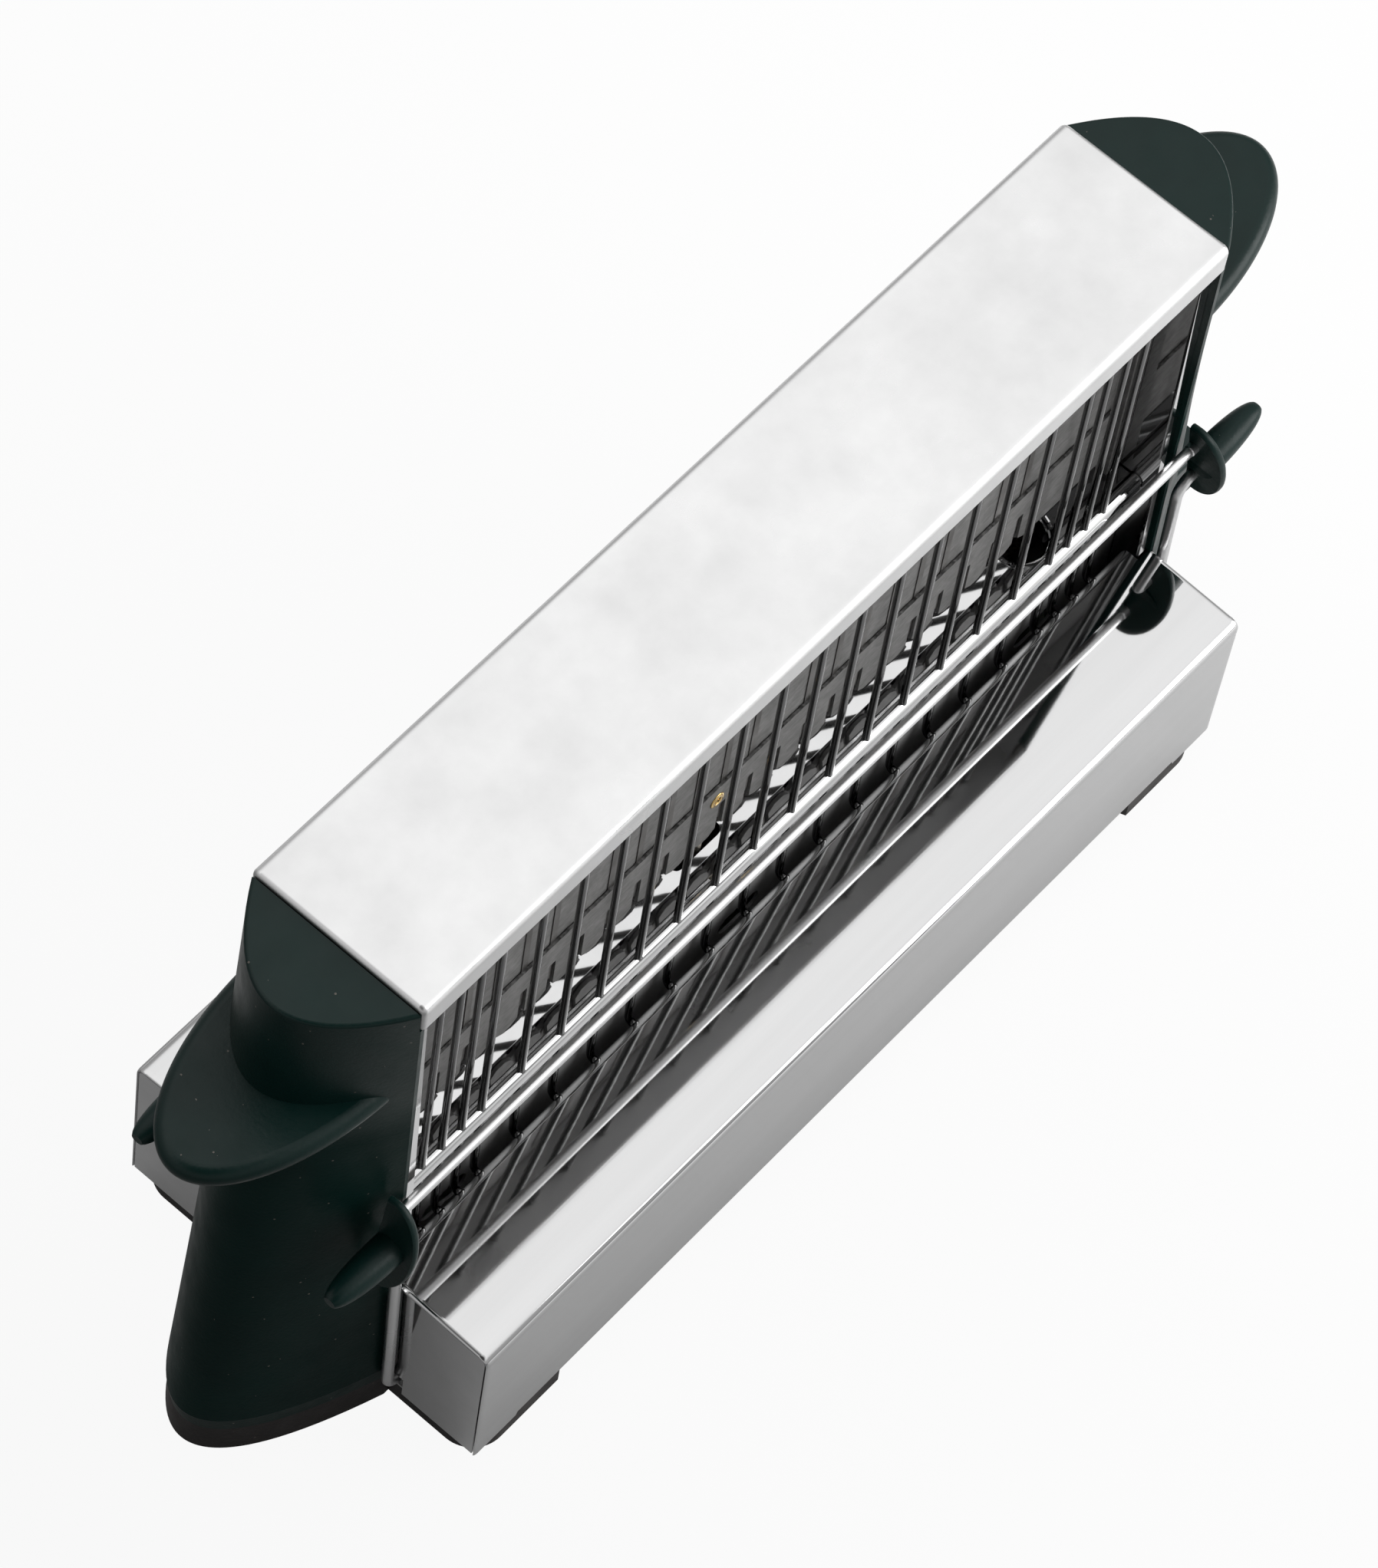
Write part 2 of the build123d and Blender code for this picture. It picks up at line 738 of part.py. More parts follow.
# Holder of the boards at each end, open in the middle
with BuildPart() as board_holder_right:
    holder_outer_x = tower_plate_x - sheet - holder_gap
    with BuildSketch(Plane.YZ.offset(holder_inner_x)):
        with Locations((0, (ridge_z + shield_z) / 2)):
            Rectangle(2 * holder_half, shield_z - ridge_z)
            Rectangle(2 * holder_window, shield_z - ridge_z - 2 * holder_sill, mode=Mode.SUBTRACT)
    extrude(amount=holder_outer_x - holder_inner_x)
    groove = board_thickness + 2 * groove_clearance
    with BuildSketch(Plane.YZ.offset(holder_inner_x)):
        with Locations((-board_y, (board_low + board_top) / 2), (board_y, (board_low + board_top) / 2)):
            Rectangle(groove, board_top - board_low + 2 * groove_clearance)
    extrude(amount=board_half - holder_inner_x + groove_clearance, mode=Mode.SUBTRACT)

with BuildPart() as board_holder_left:
    mirror(board_holder_right.part, about=Plane.YZ)

# Brass eyelet through strip and board
with BuildPart() as eyelet_front:
    with BuildSketch(Plane.XZ.offset(strip_face)):
        with Locations((eyelet_x, eyelet_z)):
            Circle(eyelet_flange_radius)
    extrude(amount=eyelet_flange)
    with BuildSketch(Plane.XZ.offset(board_y - eyelet_barrel)):
        with Locations((eyelet_x, eyelet_z)):
            Circle(eyelet_radius)
    extrude(amount=eyelet_barrel + strip_face - board_y)
    with BuildSketch(Plane.XZ.offset(board_y)):
        with Locations((eyelet_x, eyelet_z)):
            Circle(eyelet_bore)
    extrude(amount=2 * eyelet_barrel, both=True, mode=Mode.SUBTRACT)

with BuildPart() as eyelet_back:
    mirror(eyelet_front.part, about=Plane.XZ)

# Terminal block on the pan, its screws and the leads up to the boards
with BuildPart() as terminal_block:
    with Locations((block_x, 0, pan_top)):
        Box(block_length, block_width, block_height, align=standing)
    with Locations((block_groove_left_x, 0, block_top), (block_groove_right_x, 0, block_top)):
        Box(block_groove_width, block_width, 2 * block_groove_depth, mode=Mode.SUBTRACT)

with BuildPart() as terminal_screws:
    screw_xs = (block_screw_left_x, block_screw_right_x)
    with Locations(*((x, y, block_top) for x in screw_xs for y in (-pin_y, pin_y))):
        Cylinder(block_screw_radius, block_screw_height, align=standing)

with BuildPart() as element_leads:
    with Locations((eyelet_x, -lead_y, block_top), (eyelet_x, lead_y, block_top)):
        Cylinder(
            lead_radius,
            eyelet_z - eyelet_radius - block_top - seat_gap,
            align=standing,
        )

# Appliance inlet in the right cap, its pins and its leads
with BuildPart() as inlet_shell:
    with Locations((inlet_back_x, 0, inlet_z)):
        Box(
            inlet_front_x - inlet_back_x,
            2 * inlet_half,
            2 * inlet_half_height,
            align=(Align.MIN, Align.CENTER, Align.CENTER),
        )
    fillet(inlet_shell.edges().filter_by(Axis.X), inlet_edge_radius)
    with Locations((inlet_back_x + inlet_floor, 0, inlet_z)):
        Box(
            inlet_front_x - inlet_back_x,
            2 * (inlet_half - inlet_wall),
            2 * (inlet_half_height - inlet_wall),
            align=(Align.MIN, Align.CENTER, Align.CENTER),
            mode=Mode.SUBTRACT,
        )
    with BuildSketch(Plane.YZ.offset(inlet_back_x - cut_margin)):
        with Locations((-pin_y, inlet_z), (pin_y, inlet_z)):
            Circle(pin_radius + seat_gap)
    extrude(amount=inlet_floor + 2 * cut_margin, mode=Mode.SUBTRACT)

with BuildPart() as inlet_pins:
    with BuildSketch(Plane.YZ.offset(pin_back_x)):
        with Locations((-pin_y, inlet_z), (pin_y, inlet_z)):
            Circle(pin_radius)
    extrude(amount=pin_front_x - pin_back_x)
    fillet(inlet_pins.faces().sort_by(Axis.X)[-2:].edges(), pin_end_radius)

with BuildPart() as inlet_leads:
    with BuildLine(Plane.XZ.offset(pin_y)):
        FilletPolyline(
            (pin_back_x, inlet_z), (lead_drop_x, inlet_z), (lead_drop_x, block_top), radius=lead_bend
        )
    with BuildSketch(Plane.YZ.offset(pin_back_x)):
        with Locations((-pin_y, inlet_z)):
            Circle(lead_radius)
    sweep()
    mirror(inlet_leads.part, about=Plane.XZ)

# Pivot blocks inside the base's end plates
with BuildPart() as pivot_block_front_right:
    with Locations((block_inner_x, -pivot_y, pan_top)):
        Box(
            block_outer_x - block_inner_x,
            2 * block_half,
            pivot_block_top - pan_top,
            align=(Align.MIN, Align.CENTER, Align.MIN),
        )
    with BuildSketch(Plane.YZ.offset(block_inner_x)):
        with Locations((-pivot_y, pivot_z)):
            Circle(arm_radius + pivot_gap)
    extrude(amount=block_outer_x - block_inner_x, mode=Mode.SUBTRACT)

with BuildPart() as pivot_block_front_left:
    mirror(pivot_block_front_right.part, about=Plane.YZ)

with BuildPart() as pivot_block_back_right:
    mirror(pivot_block_front_right.part, about=Plane.XZ)

with BuildPart() as pivot_block_back_left:
    mirror(pivot_block_back_right.part, about=Plane.YZ)

# Front bail: rod across, arms down to the pivots
with BuildPart() as front_rod:
    with BuildSketch(Plane.YZ.offset(-rod_end_x)):
        with Locations((-rod_y, rod_z)):
            Circle(rod_radius)
    extrude(amount=2 * rod_end_x)

with BuildPart() as front_arm_right:
    with BuildLine():
        FilletPolyline(
            (pivot_pin_x, -pivot_y, pivot_z),
            (arm_x, -pivot_y, pivot_z),
            (arm_x, -arm_entry_y, arm_entry_z),
            (arm_end_x, -arm_entry_y, arm_entry_z),
            radius=arm_bend,
        )
    with BuildSketch(Plane.YZ.offset(pivot_pin_x)):
        with Locations((-pivot_y, pivot_z)):
            Circle(arm_radius)
    sweep()

with BuildPart() as front_arm_left:
    mirror(front_arm_right.part, about=Plane.YZ)

# Knob: tilted D flange and a leaf grip, bored for rod and arm
with BuildPart() as front_knob_right:
    tilt = radians(knob_tilt)
    flange_plane = Plane(
        origin=(flange_x, 0, flange_z), x_dir=(0, -1, 0), z_dir=(cos(tilt), 0, sin(tilt))
    )
    with BuildSketch(flange_plane):
        with Locations((flange_flat_y + flange_reach - flange_oval_x, 0)):
            Ellipse(flange_oval_x, flange_half_height)
        with Locations((flange_flat_y, 0)):
            Rectangle(
                2 * flange_reach,
                4 * flange_half_height,
                align=(Align.MAX, Align.CENTER),
                mode=Mode.SUBTRACT,
            )
    extrude(amount=flange_thickness)
    fillet(front_knob_right.edges().filter_by(GeomType.ELLIPSE), flange_edge_radius)
    for share, width_share, height_share in zip(grip_shares, grip_width_shares, grip_height_shares):
        with BuildSketch(Plane.YZ.offset(arm_x + grip_start + share * grip_length)):
            with Locations((-grip_y, flange_z + share * grip_rise)):
                Ellipse(width_share * grip_half_width, height_share * grip_half_height)
    loft()
    with BuildSketch(Plane.YZ.offset(cap_face)):
        with Locations((-rod_y, rod_z)):
            Circle(rod_radius + seat_gap)
    extrude(amount=rod_end_x - cap_face, mode=Mode.SUBTRACT)
    with BuildSketch(Plane.YZ.offset(cap_face + arm_bore_start)):
        with Locations((-arm_entry_y, arm_entry_z)):
            Circle(arm_radius + seat_gap)
    extrude(amount=arm_end_x - cap_face - arm_bore_start, mode=Mode.SUBTRACT)

with BuildPart() as front_knob_left:
    mirror(front_knob_right.part, about=Plane.YZ)

# Back bail, the front one turned over
with BuildPart() as back_rod:
    mirror(front_rod.part, about=Plane.XZ)

with BuildPart() as back_arm_right:
    mirror(front_arm_right.part, about=Plane.XZ)

with BuildPart() as back_arm_left:
    mirror(front_arm_left.part, about=Plane.XZ)

with BuildPart() as back_knob_right:
    mirror(front_knob_right.part, about=Plane.XZ)

with BuildPart() as back_knob_left:
    mirror(front_knob_left.part, about=Plane.XZ)

pieces = {
    "top_cover": top_cover,
    "heat_shield": heat_shield,
    "tower_plate_left": tower_plate_left,
    "tower_plate_right": tower_plate_right,
    "base_cover_front": base_cover_front,
    "base_cover_back": base_cover_back,
    "base_end_left": base_end_left,
    "base_end_right": base_end_right,
    "bottom_pan": bottom_pan,
    "end_base_left": end_base_left,
    "end_base_right": end_base_right,
    "foot_screws": foot_screws,
    "end_cap_left": end_cap_left,
    "end_cap_right": end_cap_right,
    "cap_screws_left": cap_screws_left,
    "cap_screws_right": cap_screws_right,
    "chamber_floor": chamber_floor,
    "side_panel_front": side_panel_front,
    "side_panel_back": side_panel_back,
    "guard_front": guard_front,
    "guard_back": guard_back,
    "guard_hooks_front": guard_hooks_front,
    "guard_hooks_back": guard_hooks_back,
    "mica_front": mica_front,
    "mica_back": mica_back,
    "ribbon_front": ribbon_front,
    "ribbon_back": ribbon_back,
    "strip_front": strip_front,
    "strip_back": strip_back,
    "reflector": reflector,
    "board_holder_left": board_holder_left,
    "board_holder_right": board_holder_right,
    "eyelet_front": eyelet_front,
    "eyelet_back": eyelet_back,
    "terminal_block": terminal_block,
    "terminal_screws": terminal_screws,
    "element_leads": element_leads,
    "inlet_shell": inlet_shell,
    "inlet_pins": inlet_pins,
    "inlet_leads": inlet_leads,
    "pivot_block_front_left": pivot_block_front_left,
    "pivot_block_front_right": pivot_block_front_right,
    "pivot_block_back_left": pivot_block_back_left,
    "pivot_block_back_right": pivot_block_back_right,
    "front_rod": front_rod,
    "front_arm_left": front_arm_left,
    "front_arm_right": front_arm_right,
    "front_knob_left": front_knob_left,
    "front_knob_right": front_knob_right,
    "back_rod": back_rod,
    "back_arm_left": back_arm_left,
    "back_arm_right": back_arm_right,
    "back_knob_left": back_knob_left,
    "back_knob_right": back_knob_right,
}

os.makedirs("parts", exist_ok=True)
for name, piece in pieces.items():
    piece.part.label = name
    export_step(piece.part, f"parts/{name}.step")
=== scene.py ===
"""A four-slice toaster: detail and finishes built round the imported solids, with its stage."""
import json
from math import cos, pi, radians, sin

import bmesh
import bpy
import numpy as np
from bpy.props import FloatProperty, FloatVectorProperty, PointerProperty
from mathutils import Matrix, Vector
from mathutils.geometry import delaunay_2d_cdt


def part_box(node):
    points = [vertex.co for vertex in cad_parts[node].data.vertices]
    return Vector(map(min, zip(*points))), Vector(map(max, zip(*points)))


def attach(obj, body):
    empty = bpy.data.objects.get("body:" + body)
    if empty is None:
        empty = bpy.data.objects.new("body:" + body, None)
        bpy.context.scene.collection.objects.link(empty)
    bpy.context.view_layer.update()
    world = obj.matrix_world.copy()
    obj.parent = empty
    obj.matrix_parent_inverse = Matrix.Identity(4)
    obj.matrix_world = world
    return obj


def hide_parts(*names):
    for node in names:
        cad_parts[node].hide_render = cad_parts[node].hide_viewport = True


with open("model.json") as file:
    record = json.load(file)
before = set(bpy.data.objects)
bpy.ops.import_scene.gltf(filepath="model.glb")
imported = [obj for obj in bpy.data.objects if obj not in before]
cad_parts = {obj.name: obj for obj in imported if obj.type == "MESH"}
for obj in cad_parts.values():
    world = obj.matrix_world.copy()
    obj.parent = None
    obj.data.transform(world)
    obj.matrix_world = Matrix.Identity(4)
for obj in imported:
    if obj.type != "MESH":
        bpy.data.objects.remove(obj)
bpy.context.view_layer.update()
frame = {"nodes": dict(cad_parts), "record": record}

bl_info = {
    "name": "Four-slice toaster",
    "version": (1, 0, 0),
    "blender": (4, 5, 0),
    "location": "View3D > Sidebar > Toaster",
    "description": "Builds the detail, finishes and stage of a four-slice toaster round its solids",
    "category": "Object",
}

NODES = frame["nodes"]
MM = 0.001
CHASSIS = "chassis"
SIDES = (("front", -1), ("back", 1))
ENDS = (("left", -1), ("right", 1))


def node_box(name):
    """Lowest and highest corner of a solid, in millimetres, rid of its mesh's rounding."""
    low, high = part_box(name)
    return np.round(np.array(low) / MM, 4), np.round(np.array(high) / MM, 4)


# Places and sizes of the pieces, in millimetres. They are given for the front, where y is negative;
# the back mirrors it. Those read from a solid's box keep a piece where that solid is.
(_, _, _), (CROSS_REACH, _, GUARD_TOP) = node_box("guard_front")
(_, _, FLOOR_LIP), (FLOOR_REACH, FLOOR_Y, FLOOR_CROWN) = node_box("chamber_floor")
(RIBBONS_LEFT, _, _), (RIBBONS_RIGHT, _, _) = node_box("ribbon_front")
(_, STRIP_OUTER, STRIP_LOW), (STRIP_REACH, STRIP_INNER, STRIP_TOP) = node_box("strip_front")
(_, BASE_OUTER, BASE_LOW), (BASE_REACH, BASE_INNER, _) = node_box("base_cover_front")
(_, ROD_OUTER, ROD_LOW), (_, ROD_INNER, ROD_HIGH) = node_box("front_rod")

# Guard wires: how far the outermost stays inside the wires across, x of each in eighteenths of the
# outermost, distance from the middle, and height of the kink
CROSS_OVERHANG = 2.0
WIRE_STEPS = np.array([1, 3, 5, 7, 9, 11, 13, 15, 16, 17, 18])
WIRE_PITCH = (CROSS_REACH - CROSS_OVERHANG) / WIRE_STEPS[-1]
WIRE_XS = np.sort(np.concatenate([-WIRE_STEPS, WIRE_STEPS])) * WIRE_PITCH
GUARD_Y = 19.9
GUARD_KINK = 65.9

# Hooks below the guard: corners as (y, z), radii from the kink on, and thickness against the wire
HOOK_CORNERS = ((20.15, 59.5), (25.0, 59.3), (26.6, 63.2))
HOOK_BENDS = (0.3, 2.3, 2.0)
HOOK_SWELL = 1.12

# Hidden wires that join the upright ones, as (y, z)
CROSS_WIRES = ((18.3, 203.6), (25.3, 60.6))

# Chamber floor: heights of its ledge and trough, distances of its edges from the middle, radii of its
# bends, radius of a wire's hole, and number of lines across it
LEDGE_TOP = 93.7
FLOOR_TROUGH = 92.6
LEDGE_Y = 18.7
STEP_Y = 17.7
RISE_Y = 13.6
CROWN_Y = 8.0
FLOOR_BENDS = (2.4, 0.9, 0.9, 0.9, 0.9)
WIRE_HOLE = 1.15
FLOOR_LINES = 30

# Slot for the leads: place, length and width
LEAD_SLOT_X = -18.2
LEAD_SLOT_Y = 9.0
LEAD_SLOT_LENGTH = 18.5
LEAD_SLOT_WIDTH = 4.4

# Drawn hole: place and radius; its collar's top, arc and (radius, depth) of its two lower rings
DRAWN_X = 111.5
DRAWN_Y = 9.4
DRAWN_RADIUS = 8.2
COLLAR_TOP = 8.3
COLLAR_ARC = 1.1
COLLAR_WALL = ((8.1, 3.5), (7.9, 6.0))
COLLAR_LIFT = 0.06

# Upright runs of a board's ribbon
BAR_COUNT = 23
BAR_PITCH = 10.7
BAR_XS = (RIBBONS_LEFT + RIBBONS_RIGHT) / 2 + (np.arange(BAR_COUNT) - BAR_COUNT // 2) * BAR_PITCH

# Mica strip's scallop and slit at each run: half width and depth or height, and the slit's corners
SCALLOP_HALF = 3.8
SCALLOP_DEPTH = 1.6
SLIT_HALF = 1.25
SLIT_HEIGHT = 13.8
SLIT_CORNER = (0.35, 0.3)

# Torn upper edge of the strip: how far it stays below the top, distance between its points, and its
# waves as (height, radians a millimetre, phase)
TORN_DROP = 0.4
TORN_STEP = 0.5
TORN_WAVES = ((0.16, 1.7, 0), (0.12, 4.1, 1), (0.1, 9.3, 2))

# Eyelet: where its axis meets the board, radius of its hole, and section as (radius, distance out)
EYELET = (-16.85, -9.0, 120.0)
EYELET_SEAT = 1.42
EYELET_SECTION = (
    (1.0, 0.0), (1.0, 3.6), (1.15, 3.88), (1.6, 4.0), (2.1, 3.95), (2.5, 3.78), (2.6, 3.6),
    (2.5, 3.5), (1.4, 3.5), (1.4, 0.0),
)

# Base cover: heights of the corner at its side, of the one at its inner edge, which is higher than
# the solid's for a steeper deck, and of the lower end there, and radii of the bends and the end edge
BASE_SHOULDER = 62.13
BASE_CREST = 64.8
BASE_ROLL = 61.0
BASE_BENDS = (3.2, 2.4)
BASE_END_ROUND = 1.5

# End edge's fall: at the side, how much more by the crest, the y where that begins and the run over
# which it grows, and the even stretch just before the rounding
END_FALL = 0.5
END_FALL_MORE = 1.0
END_FALL_FROM = -56.7
END_FALL_RUN = 31.0
END_EVEN = 0.1

# Room for the tower's end, beyond this x and inside this y
TOWER_X = 144.4
TOWER_Y = -28.4

# Lower edge between the feet: how much it is raised, the two x between which it steps down, and the
# number of even places up to there
FOOT_LIFT = 1.4
FOOT_STEP = (133.2, 133.7)
FOOT_PLACES = 20

# Rod of a bail: distance from the middle, height, radius, and its shoulder's radius, ends and slope
ROD_Y = -(ROD_OUTER + ROD_INNER) / 2
ROD_Z = (ROD_LOW + ROD_HIGH) / 2
ROD_RADIUS = (ROD_INNER - ROD_OUTER) / 2
SHOULDER_RADIUS = 1.72
SHOULDER_FROM = 153.5
SHOULDER_TO = 156.6
SHOULDER_SLOPE = 0.3

# Grip of a knob: root, length, rise to the tip, half sizes at the tip and how much they swell, and
# powers that round its section and its outline, which closes to this share at the tip
GRIP_X = 157.0
GRIP_Y = 32.0
KNOB_Z = 102.0
GRIP_LENGTH = 23.4
GRIP_RISE = 2.0
GRIP_TIP_Y = 1.0
GRIP_TIP_Z = 0.8
GRIP_SWELL = 3.7
GRIP_SECTION_POWER = 2.2
GRIP_OUTLINE_POWER = 2.6
GRIP_CLOSING = 0.985

# Flange of a knob: foot and tilt, D outline with its arc and flat side, and rim as (depth, growth)
FLANGE_X = 156.8
FLANGE_TILT = radians(9.8)
FLANGE_ARC_Y = 30.1
FLANGE_ARC_HALF_Y = 9.6
FLANGE_ARC_HALF_Z = 17.3
FLANGE_FLAT_Y = 27.7
FLANGE_FLAT_HALF_Z = 17.0
FLANGE_RIM = ((0.0, -0.55), (0.35, -0.2), (0.75, 0.0), (1.45, 0.0), (1.85, -0.2), (2.2, -0.55))

# Dust on plastic: colour, cells a metre, a speck's radius within its cell, and the level of a noise
# over which there are any
DUST_COLOUR = (0.30, 0.26, 0.23)
DUST_CELLS = 330.0
DUST_RADIUS = 0.1
DUST_LEVEL = 0.6

# Painted shade along the upper edge of the strips, for the dark line of the gap where they stand off the
# boards: colour, heights between which it sets in, and unevenness, in metres
GAP_SHADE_COLOUR = (0.012, 0.011, 0.010)
GAP_SHADE_HEIGHTS = ((STRIP_TOP - 0.7) * MM, STRIP_TOP * MM)
GAP_SHADE_UNEVEN = 0.0012

# The caps' shine as (height in metres, level): dull sides and a glossier lip
CAP_SHINE = ((0.150, 0.04), (0.166, 0.24))

# Camera: place in metres, then its right, up and back directions
CAMERA_PLACE = (-0.7802, -0.4841, 1.6770)
CAMERA_RIGHT = (0.65624, -0.74913, 0.09033)
CAMERA_UP = (0.62442, 0.60636, 0.49237)
CAMERA_BACK = (-0.42362, -0.26671, 0.86569)
CAMERA_LENS = 164.5
CAMERA_SENSOR = 36.0

# Studio: lamp in metres and watts, radii of the floor's rings in metres, and shares of white that
# the camera and the reflections see in the floor
SOFTBOX_PLACE = (0.95, -0.95, 0.65)
SOFTBOX_TARGET = (0.0, 0.0, 0.1)
SOFTBOX_SIZE = 1.0
SOFTBOX_POWER = 15.0
FLOOR_RINGS = (0.02, 0.5, 2.0, 8.0, 30.0)
FLOOR_SEEN = 0.93
FLOOR_REFLECTED = 0.08

# Painted shade and light on the floor: its colour runs from darker at the left, where the toaster shades
# it and the studio is dimmer, to paler at the right, by the softbox, over this half width, as (place,
# share of its colour)
FLOOR_SHADING_REACH = 0.3
FLOOR_PAINTED_SHADING = ((0.1, 0.2), (0.32, 0.75), (0.9, 1.35))

# Dome's level by the height of the direction, the hood round the camera by the cosine of the angle
# to it, and the strength of both
DOME_LEVELS = ((0.0, 0.30), (0.5, 0.42), (0.72, 0.9), (0.86, 1.0))
HOOD_LEVELS = ((0.76, 1.0), (0.94, 0.05))
DOME_STRENGTH = 1.28


def millimetres(length):
    """A length of the sidebar, in metres, as millimetres."""
    return length / MM


# Surfaces


def grid_quads(rows, columns, close_rows=False, close_columns=False):
    """Quads between neighbouring points of a grid kept row by row; closing joins last to first."""
    r, c = np.meshgrid(
        np.arange(rows if close_rows else rows - 1),
        np.arange(columns if close_columns else columns - 1),
        indexing="ij",
    )
    r_next, c_next = (r + 1) % rows, (c + 1) % columns
    corners = (r * columns + c, r * columns + c_next, r_next * columns + c_next, r_next * columns + c)
    return np.stack(corners, -1).reshape(-1, 4)


def lidded_grid(points):
    """Faces of a tube given as rings of points: quads along it and one polygon on each open end."""
    rings, around = points.shape[:2]
    faces = grid_quads(rings, around, close_columns=True).tolist()
    faces.append(list(range(around)))
    faces.append(list(range((rings - 1) * around, rings * around)))
    return points.reshape(-1, 3), faces


def turns(count):
    """Angles of a full turn in equal steps, from zero."""
    return np.arange(count) * 2 * pi / count


def bent_path(corners, radii, steps):
    """Straight runs joined by arcs: at each inner corner the arc of that radius touches both runs."""
    corners = np.asarray(corners, float)
    points = [corners[:1]]
    for before, corner, after, radius in zip(corners, corners[1:], corners[2:], radii):
        to_before = (before - corner) / np.linalg.norm(before - corner)
        to_after = (after - corner) / np.linalg.norm(after - corner)
        half = np.arccos(np.clip(to_before @ to_after, -1, 1)) / 2
        middle = (to_before + to_after) / np.linalg.norm(to_before + to_after)
        centre = corner + middle * radius / np.sin(half)
        start = corner + to_before * radius / np.tan(half) - centre
        end = corner + to_after * radius / np.tan(half) - centre
        turn = np.linspace(0, 1, steps + 1)[:, None]
        swing = pi - 2 * half
        arc = np.sin((1 - turn) * swing) * start + np.sin(turn * swing) * end
        points.append(centre + arc / np.sin(swing))
    points.append(corners[-1:])
    return np.concatenate(points)


def with_margins(path, margin=0.25):
    """The same path with a point just inside both ends of each long run, which keeps it flat shaded."""
    points = [path[:1]]
    for start, end in zip(path, path[1:]):
        run = np.linalg.norm(end - start)
        if run > 4 * margin:
            step = (end - start) / run * margin
            points.append([start + step, end - step])
        points.append([end])
    return np.concatenate(points)


def round_bar(path, radius, across, sides=14, bevel=0.25):
    """Bar along a flat path: at each point p + r cos(a) n + r sin(a) b, with b square to the
    path's plane and n square to the path within it. Each end narrows by a small bevel."""
    path = np.asarray(path, float)
    radius = np.broadcast_to(np.asarray(radius, float), len(path)).copy()
    first = path[0] + (path[1] - path[0]) / np.linalg.norm(path[1] - path[0]) * bevel
    last = path[-1] + (path[-2] - path[-1]) / np.linalg.norm(path[-2] - path[-1]) * bevel
    path = np.concatenate([path[:1], [first], path[1:-1], [last], path[-1:]])
    first_radii, last_radii = [radius[0] - bevel, radius[0]], [radius[-1], radius[-1] - bevel]
    radius = np.concatenate([first_radii, radius[1:-1], last_radii])
    along = np.gradient(path, axis=0)
    along /= np.linalg.norm(along, axis=1, keepdims=True)
    across = np.asarray(across, float)
    normal = np.cross(across, along)
    normal /= np.linalg.norm(normal, axis=1, keepdims=True)
    turn = turns(sides)
    rings = (
        path[:, None]
        + radius[:, None, None] * np.cos(turn)[None, :, None] * normal[:, None]
        + radius[:, None, None] * np.sin(turn)[None, :, None] * across[None, None]
    )
    return lidded_grid(rings)


def turned_ring(profile, centre, axis, segments):
    """Ring: each (radius, height) of a closed profile goes round the axis through the centre, which
    isn't upright."""
    profile = np.asarray(profile, float)
    axis = np.asarray(axis, float)
    side = np.cross(axis, (0.0, 0.0, 1.0))
    side /= np.linalg.norm(side)
    third = np.cross(axis, side)
    turn = turns(segments)
    spokes = np.cos(turn)[:, None] * side + np.sin(turn)[:, None] * third
    points = np.asarray(centre) + profile[:, None, :1] * spokes + profile[:, None, 1:] * axis
    return points.reshape(-1, 3), grid_quads(len(profile), segments, True, True).tolist()


def superellipse(power, count):
    """Points of |y|^p + |z|^p = 1, by angle: y = |cos|^(2/p) and z = |sin|^(2/p), signs kept."""
    turn = turns(count)
    c, s = np.cos(turn), np.sin(turn)
    return np.stack([np.sign(c) * np.abs(c) ** (2 / power), np.sign(s) * np.abs(s) ** (2 / power)], -1)


def mirrored(parts, axis):
    """The same parts with one coordinate turned over; faces are turned round to match."""
    flip = np.ones(3)
    flip[axis] = -1
    return [(points * flip, [face[::-1] for face in faces]) for points, faces in parts]


def make_piece(name, parts, material, body, replaced, sharp=35.0, closed=True):
    """One object from several surfaces in millimetres: joined, smooth but for edges sharper than the
    given angle, with its place in its mesh. Closed surfaces are faced outwards."""
    offsets = np.cumsum([0] + [len(points) for points, _ in parts[:-1]])
    points = np.concatenate([points for points, _ in parts]) * MM
    faces = [[i + offset for i in face] for (_, own), offset in zip(parts, offsets) for face in own]
    mesh = bpy.data.meshes.new(name)
    mesh.from_pydata(points.tolist(), [], faces)
    if closed:
        shell = bmesh.new()
        shell.from_mesh(mesh)
        bmesh.ops.recalc_face_normals(shell, faces=shell.faces)
        shell.to_mesh(mesh)
        shell.free()
    mesh.shade_smooth()
    mesh.set_sharp_from_angle(angle=radians(sharp))
    if not closed:
        sharpen_borders(mesh)
    piece = bpy.data.objects.new(name, mesh)
    bpy.context.scene.collection.objects.link(piece)
    mesh.materials.append(material)
    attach(piece, body)
    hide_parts(*replaced)
    return piece


def sharpen_borders(mesh):
    """Marks the open edges sharp, so that a sheet stays flat shaded up to the rim it is given."""
    used = np.empty(len(mesh.loops), np.int32)
    mesh.loops.foreach_get("edge_index", used)
    marked = np.empty(len(mesh.edges), bool)
    mesh.edges.foreach_get("use_edge_sharp", marked)
    border = np.bincount(used, minlength=len(mesh.edges)) == 1
    mesh.edges.foreach_set("use_edge_sharp", marked | border)


def thicken(piece, thickness):
    """Sheet of even thickness behind a bare surface; the modifier closes its edges."""
    solid = piece.modifiers.new("sheet", "SOLIDIFY")
    solid.thickness = thickness * MM
    solid.offset = -1.0
    solid.use_even_offset = True


# Materials


# Every finish by the name it was asked for, since Blender may number the material's own
MATERIALS = {}


